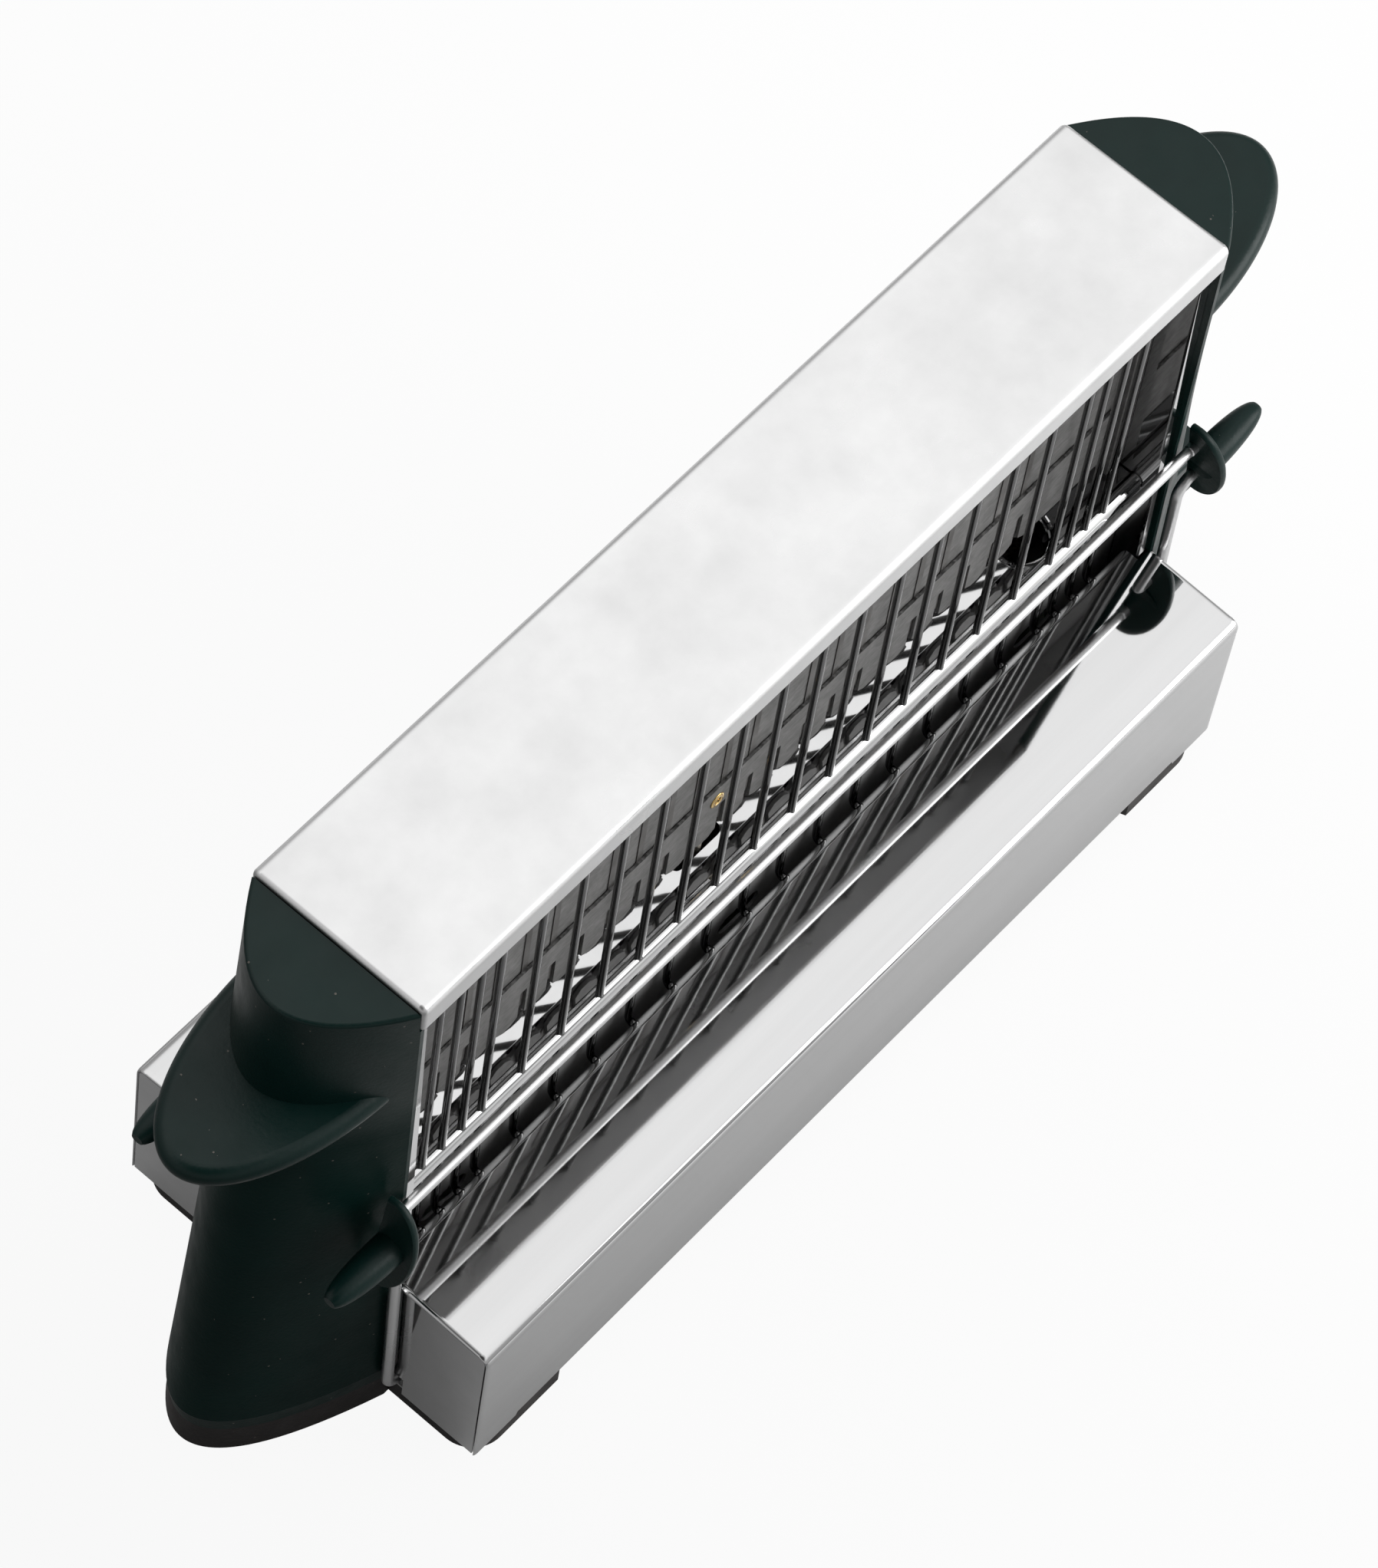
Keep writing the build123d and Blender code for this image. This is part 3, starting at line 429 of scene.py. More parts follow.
def add_node(tree, kind, **settings):
    """A node with its settings: names with a capital are sockets, the others properties."""
    node = tree.nodes.new(kind)
    for key, value in settings.items():
        if key[0].isupper():
            socket = node.inputs[key.replace("_", " ")]
            if isinstance(value, bpy.types.NodeSocket):
                tree.links.new(value, socket)
            else:
                socket.default_value = value
        else:
            setattr(node, key, value)
    return node


def ramp(tree, source, stops):
    """Colour ramp through (place, grey or colour) stops, fed by a socket."""
    node = add_node(tree, "ShaderNodeValToRGB", Fac=source)
    elements = node.color_ramp.elements
    while len(elements) < len(stops):
        elements.new(0.5)
    for element, (place, tone) in zip(elements, stops):
        element.position = place
        element.color = (*((tone,) * 3 if isinstance(tone, float) else tone), 1)
    return node.outputs["Color"]


def noise(tree, vector, scale, detail=3.0, roughness=0.5):
    """Noise of that many cells a metre."""
    node = add_node(
        tree, "ShaderNodeTexNoise", Vector=vector, Scale=scale, Detail=detail, Roughness=roughness,
    )
    return node.outputs["Fac"]


def stretched(tree, vector, scale):
    """Coordinates stretched by a factor on each axis."""
    return add_node(tree, "ShaderNodeMapping", Vector=vector, Scale=scale).outputs["Vector"]


def math_node(tree, operation, first, second):
    """One sum on two values, each a socket or a number."""
    node = tree.nodes.new("ShaderNodeMath")
    node.operation = operation
    for socket, value in zip(node.inputs, (first, second)):
        if isinstance(value, bpy.types.NodeSocket):
            tree.links.new(value, socket)
        else:
            socket.default_value = value
    return node.outputs["Value"]


def height_of(tree, coords):
    """The z of each point or direction."""
    return add_node(tree, "ShaderNodeSeparateXYZ", Vector=coords).outputs["Z"]


def mixed_with(tree, tones, colour, factor):
    """The tones, turned to an even colour by the factor."""
    node = add_node(tree, "ShaderNodeMix", data_type="RGBA")
    tree.links.new(factor, node.inputs["Factor"])
    tree.links.new(tones, node.inputs["A"])
    node.inputs["B"].default_value = (*colour, 1)
    return node.outputs["Result"]


def add_relief(tree, shader, height, strength, distance):
    """Relief on the shader from a height between 0 and 1, whose full height is the distance."""
    bump = add_node(tree, "ShaderNodeBump", Height=height, Strength=strength, Distance=distance)
    tree.links.new(bump.outputs["Normal"], shader.inputs["Normal"])


def new_material(name, colour, metallic, roughness):
    """Principled material with its even values on the shader, listed under the name that is asked
    for. Returns its tree, its shader and its coordinates, in metres."""
    material = bpy.data.materials.new(name)
    MATERIALS[name] = material
    material.use_nodes = True
    tree = material.node_tree
    shader = tree.nodes["Principled BSDF"]
    shader.inputs["Base Color"].default_value = (*colour, 1)
    shader.inputs["Metallic"].default_value = metallic
    shader.inputs["Roughness"].default_value = roughness
    coords = add_node(tree, "ShaderNodeTexCoord").outputs["Object"]
    return tree, shader, coords


def tinted(tree, colour, factor, dark, light):
    """The colour times a grey that runs from dark to light with the factor."""
    return ramp(tree, factor, (
        (0.25, tuple(c * dark for c in colour)), (0.75, tuple(c * light for c in colour)),
    ))


def vary_gloss(tree, shader, factor, low, high):
    """Roughness that runs from low to high with the factor."""
    tree.links.new(ramp(tree, factor, ((0.3, low), (0.7, high))), shader.inputs["Roughness"])


def make_steel(name, colour, roughness, waves=0.0, fine=0.002, grain=(1.0, 1.0, 1.0)):
    """Bare steel: rubbed tone, uneven gloss, waves a few centimetres long and a fine grain."""
    tree, shader, coords = new_material(name, colour, 1.0, roughness)
    along_grain = stretched(tree, coords, grain)
    rubbed = noise(tree, along_grain, scale=90.0, detail=5.0, roughness=0.6)
    tree.links.new(tinted(tree, colour, rubbed, dark=0.94, light=1.03), shader.inputs["Base Color"])
    handled = noise(tree, coords, scale=35.0, detail=4.0)
    vary_gloss(tree, shader, handled, low=max(roughness * 0.8, 0.02), high=roughness * 1.35)
    long_waves = math_node(tree, "MULTIPLY", noise(tree, coords, scale=17.0, detail=1.0), waves)
    rubbing = math_node(tree, "MULTIPLY", noise(tree, along_grain, scale=700.0, detail=2.0), fine)
    add_relief(tree, shader, math_node(tree, "ADD", long_waves, rubbing), strength=1.0, distance=0.0003)


def make_plastic(name, colour, roughness, peel, dust=0.35, shine=0.3, rise=None):
    """Black moulded thermoset: faint clouding, fine orange peel and scattered dust specks. The shine
    may rise with the height: two stops of (height in metres, level), glossier where it is handled."""
    tree, shader, coords = new_material(name, colour, 0.0, roughness)
    shader.inputs["Specular IOR Level"].default_value = shine
    if rise:
        tree.links.new(ramp(tree, height_of(tree, coords), rise), shader.inputs["Specular IOR Level"])
    shader.inputs["Sheen Weight"].default_value = 0.02
    shader.inputs["Sheen Roughness"].default_value = 0.35
    shader.inputs["Sheen Tint"].default_value = (0.80, 0.52, 0.44, 1)
    clouds = noise(tree, coords, scale=40.0, detail=5.0, roughness=0.6)
    body = tinted(tree, colour, clouds, dark=0.8, light=1.2)
    cells = add_node(tree, "ShaderNodeTexVoronoi", Vector=coords, Scale=DUST_CELLS)
    patches = noise(tree, coords, scale=260.0, detail=1.0)
    chosen = math_node(tree, "GREATER_THAN", patches, DUST_LEVEL)
    near = math_node(tree, "LESS_THAN", cells.outputs["Distance"], DUST_RADIUS)
    speck = math_node(tree, "MULTIPLY", math_node(tree, "MULTIPLY", chosen, near), dust)
    tree.links.new(mixed_with(tree, body, DUST_COLOUR, speck), shader.inputs["Base Color"])
    handled = noise(tree, coords, scale=120.0, detail=4.0)
    vary_gloss(tree, shader, handled, low=roughness * 0.85, high=roughness * 1.2)
    pores = noise(tree, coords, scale=900.0, detail=2.0)
    add_relief(tree, shader, pores, strength=peel, distance=0.0001)


def make_mica(name, colour, gap_shade=None):
    """Pressed mica: short fibres lying mostly one way, pale flakes and a dull, slightly rough face.
    Between the two given heights, in metres, it darkens unevenly: painted shade of the gap line along a
    strip's upper edge."""
    tree, shader, coords = new_material(name, colour, 0.0, 0.62)
    lying = stretched(tree, coords, (0.35, 1.0, 1.0))
    fibres = noise(tree, lying, scale=900.0, detail=5.0, roughness=0.65)
    flakes = noise(tree, coords, scale=160.0, detail=5.0, roughness=0.7)
    both = math_node(tree, "MULTIPLY", math_node(tree, "ADD", fibres, flakes), 0.5)
    tones = ramp(tree, both, (
        (0.32, tuple(c * 0.62 for c in colour)),
        (0.5, colour),
        (0.68, tuple(c * 1.45 for c in colour)),
    ))
    if gap_shade:
        # Painted shade: the colour darkens unevenly towards the top, for the shadow of the gap along the
        # strip's upper edge
        around_zero = math_node(tree, "SUBTRACT", noise(tree, coords, scale=350.0), 0.5)
        uneven = math_node(tree, "MULTIPLY", around_zero, GAP_SHADE_UNEVEN)
        gap_shading = add_node(
            tree, "ShaderNodeMapRange", Value=math_node(tree, "ADD", height_of(tree, coords), uneven),
            From_Min=gap_shade[0], From_Max=gap_shade[1],
        )
        tones = mixed_with(tree, tones, GAP_SHADE_COLOUR, gap_shading.outputs["Result"])
    tree.links.new(tones, shader.inputs["Base Color"])
    add_relief(tree, shader, both, strength=0.5, distance=0.00012)


def make_plain(
    name, colour, roughness, metallic=0.0, grain=300.0, depth=0.00005, stretch=(1.0, 1.0, 1.0),
):
    """Even finish with a fine grain in tone, gloss and height."""
    tree, shader, coords = new_material(name, colour, metallic, roughness)
    grains = noise(tree, stretched(tree, coords, stretch), scale=grain, detail=5.0, roughness=0.6)
    tree.links.new(tinted(tree, colour, grains, dark=0.72, light=1.22), shader.inputs["Base Color"])
    handled = noise(tree, coords, scale=grain / 4)
    vary_gloss(tree, shader, handled, low=roughness * 0.8, high=min(roughness * 1.2, 1.0))
    add_relief(tree, shader, grains, strength=0.6, distance=depth)


def make_sleeve(name, colour):
    """Braided sleeve: two crossing bands round and along the lead."""
    tree, shader, coords = new_material(name, colour, 0.0, 0.8)
    crossing = [
        add_node(
            tree, "ShaderNodeTexWave", Vector=stretched(tree, coords, (1.0, way, 1.0)), Scale=260.0,
            bands_direction="DIAGONAL",
        ).outputs["Fac"]
        for way in (-1.0, 1.0)
    ]
    weave = math_node(tree, "MAXIMUM", *crossing)
    tree.links.new(tinted(tree, colour, weave, dark=0.6, light=1.15), shader.inputs["Base Color"])
    add_relief(tree, shader, weave, strength=0.8, distance=0.0002)


def build_materials(colours):
    """All finishes: those of the record's slots by the slots' names, and a few of this script's own."""
    steel, cover, cap = tuple(colours.steel), tuple(colours.cover), tuple(colours.cap)
    knob, mica = tuple(colours.knob), tuple(colours.mica)
    make_steel("polished_steel", steel, 0.04, waves=0.06)
    make_steel("deck_steel", steel, 0.03, waves=0.05, fine=0.003, grain=(0.04, 1.0, 1.0))
    make_steel("satin_cover", cover, 0.3, waves=0.05, fine=0.005)
    make_plain("dull_steel", (0.34, 0.34, 0.34), 0.5, metallic=0.35, grain=60.0, depth=0.0001)
    make_steel("plain_steel", (0.55, 0.55, 0.55), 0.3, waves=0.2, fine=0.02)
    make_steel("screw_steel", (0.5, 0.5, 0.5), 0.25)
    make_steel("guard_wire", (0.17, 0.17, 0.17), 0.04, grain=(1.0, 1.0, 0.05))
    make_steel("bail_steel", (0.72, 0.72, 0.72), 0.3, fine=0.01, grain=(0.05, 1.0, 1.0))
    make_plastic("cap_plastic", cap, 0.34, peel=0.4, shine=0.1, rise=CAP_SHINE)
    make_plastic("knob_plastic", knob, 0.38, peel=0.5, shine=0.2)
    make_plastic("inlet_plastic", cap, 0.3, peel=0.3)
    make_plastic("foot_plastic", (0.006, 0.004, 0.0035), 0.42, peel=0.5, dust=0.2)
    make_mica("mica", mica)
    make_mica("holding_strip", mica, GAP_SHADE_HEIGHTS)
    make_plain(
        "heater_ribbon", (0.12, 0.115, 0.11), 0.42, metallic=0.7, grain=500.0,
        stretch=(1.0, 1.0, 0.1),
    )
    make_plain("ceramic", (0.62, 0.60, 0.55), 0.75)
    make_plain("brass", (0.72, 0.50, 0.20), 0.2, metallic=1.0, grain=800.0, depth=0.00002)
    make_sleeve("lead_sleeve", (0.45, 0.42, 0.36))


# Solids whose finish isn't their slot's, by name without front or back
FINISHES = {
    "top_cover": "satin_cover", "base_cover": "deck_steel", "side_panel": "dull_steel",
    "board_holder_left": "mica", "board_holder_right": "mica",
}


def dress_nodes():
    """Every solid gets its slot's finish, or its own where it looks different."""
    slots = {part["node"]: part["material_slot"] for part in frame["record"]["subparts"]}
    for name, node in NODES.items():
        finish = FINISHES.get(name.removesuffix("_front").removesuffix("_back"), slots[name])
        node.data.materials.clear()
        node.data.materials.append(MATERIALS[finish])


# Pieces, all lengths in millimetres


def guard_wire(x, side, radius):
    """One guard wire: straight down, a small kink outwards, then a hook under the base's roll. From
    the kink on it is a little thicker."""
    corners = [(x, GUARD_Y, GUARD_TOP), (x, GUARD_Y, GUARD_KINK), *((x, y, z) for y, z in HOOK_CORNERS)]
    path = bent_path(corners, HOOK_BENDS, steps=6)
    above_kink = GUARD_KINK + 0.1
    swell = np.where(path[:, 2] < above_kink, radius * HOOK_SWELL, radius)
    path[:, 1] *= side
    return round_bar(path, swell, (1.0, 0.0, 0.0))


def guard_parts(side, radius):
    """The upright wires of one side with the two hidden wires that join them."""
    parts = [guard_wire(x, side, radius) for x in WIRE_XS]
    for y, z in CROSS_WIRES:
        path = [(x, side * y, z) for x in (-CROSS_REACH, 0, CROSS_REACH)]
        parts.append(round_bar(path, radius, (0.0, 0.0, 1.0)))
    return parts


def floor_profile():
    """Half of the chamber floor's section from the drop of the ledge to the middle, as (y, z)."""
    corners = [
        (-FLOOR_Y, FLOOR_LIP), (-FLOOR_Y, LEDGE_TOP), (-LEDGE_Y, LEDGE_TOP), (-STEP_Y, FLOOR_TROUGH),
        (-RISE_Y, FLOOR_TROUGH), (-CROWN_Y, FLOOR_CROWN), (0, FLOOR_CROWN),
    ]
    return bent_path(corners, FLOOR_BENDS, steps=7)


def circle(x, y, radius, count):
    """Points of a circle, by angle."""
    turn = turns(count)
    return np.stack([x + radius * np.cos(turn), y + radius * np.sin(turn)], -1)


def slot_outline(x, y, length, width):
    """Long hole along x: two half circles whose middles are the length less the width apart."""
    reach = (length - width) / 2
    turn = np.linspace(-pi / 2, pi / 2, 10)
    right = np.stack([x + reach + width / 2 * np.cos(turn), y + width / 2 * np.sin(turn)], -1)
    left = np.stack([x - reach - width / 2 * np.cos(turn), y - width / 2 * np.sin(turn)], -1)
    return np.concatenate([right, left])


def cut_net(runs):
    """Points and triangles of a constrained Delaunay net in a plane, whose edges follow the given
    runs of points; each comes with whether it closes on itself."""
    points, edges = [], []
    for run, closes in runs:
        start = len(points)
        points.extend(Vector(point) for point in run)
        edges.extend((start + i, start + i + 1) for i in range(len(run) - 1))
        if closes:
            edges.append((start + len(run) - 1, start))
    whole_hull, same_point = 0, 1e-4
    net, _, faces, *_ = delaunay_2d_cdt(points, edges, [], whole_hull, same_point)
    return np.array([tuple(point) for point in net]), np.array(faces)


def pierced_sheet(lines_u, lines_v, holes):
    """Net of a rectangle in (u, v), cut along the given lines, with the holes left out."""
    runs = [([(u, v) for v in (lines_v[0], lines_v[-1])], False) for u in lines_u]
    runs += [([(u, v) for u in (lines_u[0], lines_u[-1])], False) for v in lines_v]
    runs += [(hole.tolist(), True) for hole in holes]
    net, faces = cut_net(runs)
    middles = net[faces].mean(1)
    keep = np.ones(len(faces), bool)
    for hole in holes:
        centre = hole.mean(0)
        near = np.flatnonzero(np.abs(middles - centre).max(1) < np.abs(hole - centre).max() + 1)
        keep[near[inside(middles[near], hole)]] = False
    used, faces = np.unique(faces[keep], return_inverse=True)
    return net[used], faces.reshape(-1, 3).tolist()


def inside(points, outline):
    """Even-odd test of points against a closed outline: how many of its edges lie to their right. A
    level edge never counts, and its rise is only kept from being zero."""
    a, b = outline, np.roll(outline, -1, 0)
    y = points[:, None, 1]
    crosses = (a[:, 1] > y) != (b[:, 1] > y)
    rise = np.where(b[:, 1] == a[:, 1], 1e-9, b[:, 1] - a[:, 1])
    at = a[:, 0] + (y - a[:, 1]) / rise * (b[:, 0] - a[:, 0])
    return (crosses & (points[:, None, 0] < at)).sum(1) % 2 == 1


def chamber_floor_part():
    """Chamber floor: the section carried along x, with the wire holes, the slots for the leads and
    the drawn holes cut out in (x, distance along the section). Tiny steps keep y rising on upright
    runs, so that the distance can be looked up by y."""
    half = floor_profile()
    profile = np.concatenate([half, half[-2::-1] * (-1, 1)])
    run = np.concatenate([[0], np.cumsum(np.linalg.norm(np.diff(profile, axis=0), axis=1))])
    rising = np.maximum.accumulate(profile[:, 0] + np.arange(len(profile)) * 1e-6)
    outlines = []
    for side in (-1, 1):
        outlines += [circle(x, side * GUARD_Y, WIRE_HOLE, 14) for x in WIRE_XS]
        outlines.append(slot_outline(LEAD_SLOT_X, side * LEAD_SLOT_Y, LEAD_SLOT_LENGTH, LEAD_SLOT_WIDTH))
        outlines.append(circle(-side * DRAWN_X, side * DRAWN_Y, DRAWN_RADIUS, 40))
    holes = [np.stack([hole[:, 0], np.interp(hole[:, 1], rising, run)], -1) for hole in outlines]
    net, faces = pierced_sheet(np.linspace(-FLOOR_REACH, FLOOR_REACH, FLOOR_LINES), run, holes)
    y = np.interp(net[:, 1], run, profile[:, 0])
    z = np.interp(net[:, 1], run, profile[:, 1])
    return np.stack([net[:, 0], y, z], -1), faces


def floor_height(y):
    """Height of the chamber floor between its two steps: level, then a rise to the middle."""
    share = np.clip((RISE_Y - np.abs(y)) / (RISE_Y - CROWN_Y), 0, 1)
    return FLOOR_TROUGH + (FLOOR_CROWN - FLOOR_TROUGH) * share


def drawn_collar(side):
    """Wall of a drawn hole: rings that follow the floor at their top, turn down in a small arc and
    narrow slightly to the lower edge."""
    turn = turns(48)
    bend = np.linspace(0, pi / 2, 6)
    wall_radii, wall_drops = np.array(COLLAR_WALL).T
    radii = np.concatenate([COLLAR_TOP + COLLAR_ARC * (1 - np.sin(bend)), wall_radii])
    drops = np.concatenate([COLLAR_ARC * (1 - np.cos(bend)), wall_drops])
    x = -side * DRAWN_X + radii[:, None] * np.cos(turn)
    y = side * DRAWN_Y + radii[:, None] * np.sin(turn)
    z = floor_height(y) + COLLAR_LIFT - drops[:, None]
    faces = grid_quads(len(radii), len(turn), close_columns=True)[:, ::-1].tolist()
    return np.stack([x, y, z], -1).reshape(-1, 3), faces


def strip_outline():
    """Edge of the mica strip as (x, z): scalloped below with an open slit at each ribbon, and a torn
    upper edge, a sum of three sines of the place along it."""
    cut, drop = SLIT_CORNER
    half_notch = np.array([
        (SCALLOP_HALF, 0), (SLIT_HALF, SCALLOP_DEPTH), (SLIT_HALF, SLIT_HEIGHT - drop),
        (SLIT_HALF - cut, SLIT_HEIGHT),
    ])
    notch = np.concatenate([half_notch * (-1, 1), half_notch[::-1]])
    x, z = np.broadcast_arrays(BAR_XS[:, None] + notch[:, 0], STRIP_LOW + notch[:, 1])
    low = np.stack([x, z], -1).reshape(-1, 2)
    across = np.linspace(STRIP_REACH, -STRIP_REACH, round(2 * STRIP_REACH / TORN_STEP) + 1)
    torn = sum(height * np.sin(rate * across + phase) for height, rate, phase in TORN_WAVES)
    top = np.stack([across, STRIP_TOP - TORN_DROP + torn], -1)
    return np.concatenate([[(-STRIP_REACH, STRIP_LOW)], low, [(STRIP_REACH, STRIP_LOW)], top])


def strip_parts(side):
    """Outer face of the mica strip: the net inside its edge, less the eyelet's hole."""
    outline, hole = strip_outline(), circle(EYELET[0], EYELET[2], EYELET_SEAT, 24)
    net, faces = cut_net([(outline, True), (hole, True)])
    middles = net[faces].mean(1)
    faces = faces[inside(middles, outline) & ~inside(middles, hole)]
    part = [(np.stack([net[:, 0], np.full(len(net), STRIP_OUTER), net[:, 1]], -1), faces.tolist())]
    return mirrored(part, 1) if side > 0 else part


def eyelet_parts(side):
    """Rolled brass eyelet: barrel and flange turned round the hole's axis."""
    part = [turned_ring(EYELET_SECTION, EYELET, (0.0, -1.0, 0.0), 36)]
    return mirrored(part, 1) if side > 0 else part


def base_profile():
    """Section of the base cover from its lower edge over the deck to the rolled inner edge, as
    (y, z), with a point where the room for the tower begins."""
    corners = [
        (BASE_OUTER, BASE_LOW), (BASE_OUTER, BASE_SHOULDER), (BASE_INNER, BASE_CREST),
        (BASE_INNER, BASE_ROLL),
    ]
    profile = with_margins(bent_path(corners, BASE_BENDS, steps=10))
    before = int(np.flatnonzero(profile[:, 0] < TOWER_Y)[-1])
    step = profile[before + 1] - profile[before]
    cut = profile[before] + (TOWER_Y - profile[before, 0]) / step[0] * step
    return np.insert(profile, before + 1, cut, axis=0)


def base_sheet_parts(side):
    """Base cover: its section carried along x. Near each end the section shrinks by d(1 - cos a) as
    x grows by r sin a, which rounds the end edge; d grows towards the crest, where the end plate
    lies lower. Between the feet the two lowest points are raised."""
    profile = base_profile()
    along = np.gradient(profile, axis=0)
    along /= np.linalg.norm(along, axis=1, keepdims=True)
    outward = np.stack([-along[:, 1], along[:, 0]], -1)
    fall = END_FALL + END_FALL_MORE * np.clip((profile[:, 0] - END_FALL_FROM) / END_FALL_RUN, 0, 1)
    bend = np.linspace(0, pi / 2, 5)
    ends = BASE_REACH - BASE_END_ROUND + BASE_END_ROUND * np.sin(bend)
    step_in, step_out = FOOT_STEP
    even = np.concatenate([np.linspace(0, step_in, FOOT_PLACES), [step_out, TOWER_X, ends[0] - END_EVEN]])
    places = np.concatenate([even, ends])
    shrink = np.concatenate([np.zeros(len(even)), 1 - np.cos(bend)])
    x = np.concatenate([places[:0:-1], -places])
    shrink = np.concatenate([shrink[:0:-1], shrink])
    section = profile[None] - (outward * fall[:, None])[None] * shrink[:, None, None]
    section[np.abs(x) < step_out, :2, 1] += FOOT_LIFT
    points = np.concatenate([np.broadcast_to(x[:, None, None], (*section.shape[:2], 1)), section], -1)
    points = points.reshape(-1, 3)
    faces = grid_quads(len(x), len(profile))
    middles = points[faces].mean(1)
    faces = faces[(np.abs(middles[:, 0]) < TOWER_X) | (middles[:, 1] < TOWER_Y)]
    part = [(points, faces.tolist())]
    return mirrored(part, 1) if side > 0 else part


def rod_parts(side):
    """Rod of a bail with a slightly thicker shoulder before each knob."""
    half = np.array([
        (0.0, ROD_RADIUS), (SHOULDER_FROM - SHOULDER_SLOPE, ROD_RADIUS),
        (SHOULDER_FROM, SHOULDER_RADIUS), (SHOULDER_TO, SHOULDER_RADIUS),
        (SHOULDER_TO + SHOULDER_SLOPE, ROD_RADIUS),
    ])
    x, radius = np.concatenate([half[:0:-1] * (-1, 1), half]).T
    path = np.stack([x, np.full(len(x), side * ROD_Y), np.full(len(x), ROD_Z)], -1)
    return [round_bar(path, radius, (0.0, 0.0, 1.0), sides=24)]


def knob_grip():
    """Grip of the front right knob, leaf-shaped from above: superellipses along x whose half sizes
    are the tip's plus s sqrt(1 - (c t)^p), on a middle line that rises with t. The rings stand
    slightly closer towards the tip."""
    share = np.linspace(0, 1, 25) ** 0.9
    swell = GRIP_SWELL * np.sqrt(np.clip(1 - (share * GRIP_CLOSING) ** GRIP_OUTLINE_POWER, 0, 1))
    section = superellipse(GRIP_SECTION_POWER, 32)
    rings = np.empty((len(share), len(section), 3))
    rings[:, :, 0] = GRIP_X + GRIP_LENGTH * share[:, None]
    rings[:, :, 1] = -GRIP_Y + section[:, 0] * (GRIP_TIP_Y + swell)[:, None]
    rings[:, :, 2] = KNOB_Z + GRIP_RISE * share[:, None] + section[:, 1] * (GRIP_TIP_Z + swell)[:, None]
    return lidded_grid(rings)


def knob_flange():
    """Flange of the front right knob: a D outline, half an ellipse and a flat side, in layers that
    grow and shrink to a round rim and lean with the arm's tilt."""
    turn = np.linspace(-pi / 2, pi / 2, 33)
    arc = np.stack([
        FLANGE_ARC_Y + FLANGE_ARC_HALF_Y * np.cos(turn), FLANGE_ARC_HALF_Z * np.sin(turn),
    ], -1)
    flat = np.linspace((FLANGE_FLAT_Y, FLANGE_FLAT_HALF_Z), (FLANGE_FLAT_Y, -FLANGE_FLAT_HALF_Z), 9)
    outline = np.concatenate([arc, flat])
    centre = outline.mean(0)
    away = outline - centre
    length = np.linalg.norm(away, axis=1, keepdims=True)
    depth, growth = np.array(FLANGE_RIM).T[:, :, None]
    layers = centre + away * (1 + growth[:, :, None] / length)
    reach, height = layers[:, :, 0], layers[:, :, 1]
    x = FLANGE_X + depth * cos(FLANGE_TILT) - height * sin(FLANGE_TILT)
    z = KNOB_Z + depth * sin(FLANGE_TILT) + height * cos(FLANGE_TILT)
    return lidded_grid(np.stack([x, -reach, z], -1))


def knob_parts(side, end):
    """Grip and flange of one knob, turned over from the front right one."""
    parts = [knob_grip(), knob_flange()]
    if end < 0:
        parts = mirrored(parts, 0)
    if side > 0:
        parts = mirrored(parts, 1)
    return parts


# Sidebar settings


class TOASTER_PG_sizes(bpy.types.PropertyGroup):
    """Sizes that a user may change."""

    wire_radius: FloatProperty(
        name="Guard wire radius", description="Half the thickness of a guard wire",
        default=0.001, min=0.0005, max=0.0012, subtype="DISTANCE", unit="LENGTH",
    )
    sheet: FloatProperty(
        name="Sheet", description="Thickness of the steel sheet",
        default=0.0008, min=0.0003, max=0.0012, subtype="DISTANCE", unit="LENGTH",
    )


class TOASTER_PG_colours(bpy.types.PropertyGroup):
    """Colours that a user may change."""

    steel: FloatVectorProperty(
        name="Polished steel", description="Colour of the polished sheet", subtype="COLOR",
        size=3, min=0, max=1, default=(0.61, 0.61, 0.612),
    )
    cover: FloatVectorProperty(
        name="Cover", description="Colour of the tower's cover", subtype="COLOR",
        size=3, min=0, max=1, default=(0.74, 0.74, 0.74),
    )
    cap: FloatVectorProperty(
        name="End caps", description="Colour of the moulded end caps", subtype="COLOR",
        size=3, min=0, max=1, default=(0.0012, 0.0135, 0.0115),
    )
    knob: FloatVectorProperty(
        name="Knobs", description="Colour of the moulded knobs", subtype="COLOR",
        size=3, min=0, max=1, default=(0.0016, 0.0150, 0.0130),
    )
    mica: FloatVectorProperty(
        name="Heater boards", description="Colour of the mica boards", subtype="COLOR",
        size=3, min=0, max=1, default=(0.165, 0.163, 0.160),
    )
    stage_floor: FloatVectorProperty(
        name="Floor", description="Colour of the studio floor", subtype="COLOR",
        size=3, min=0, max=1, default=(0.65, 0.65, 0.65),
    )


# Operators


class TOASTER_OT_finishes(bpy.types.Operator):
    """Make every finish and give the solids theirs"""

    bl_idname = "toaster.finishes"
    bl_label = "Finishes"

    def execute(self, context):
        build_materials(context.scene.toaster_colours)
        dress_nodes()
        return {"FINISHED"}


class TOASTER_OT_guards(bpy.types.Operator):
    """Build the wire guard of each side"""

    bl_idname = "toaster.guards"
    bl_label = "Wire guards"

    def execute(self, context):
        radius = millimetres(context.scene.toaster_sizes.wire_radius)
        for name, side in SIDES:
            make_piece(
                f"wires_{name}", guard_parts(side, radius), MATERIALS["guard_wire"], CHASSIS,
                (f"guard_{name}", f"guard_hooks_{name}"),
            )
        return {"FINISHED"}


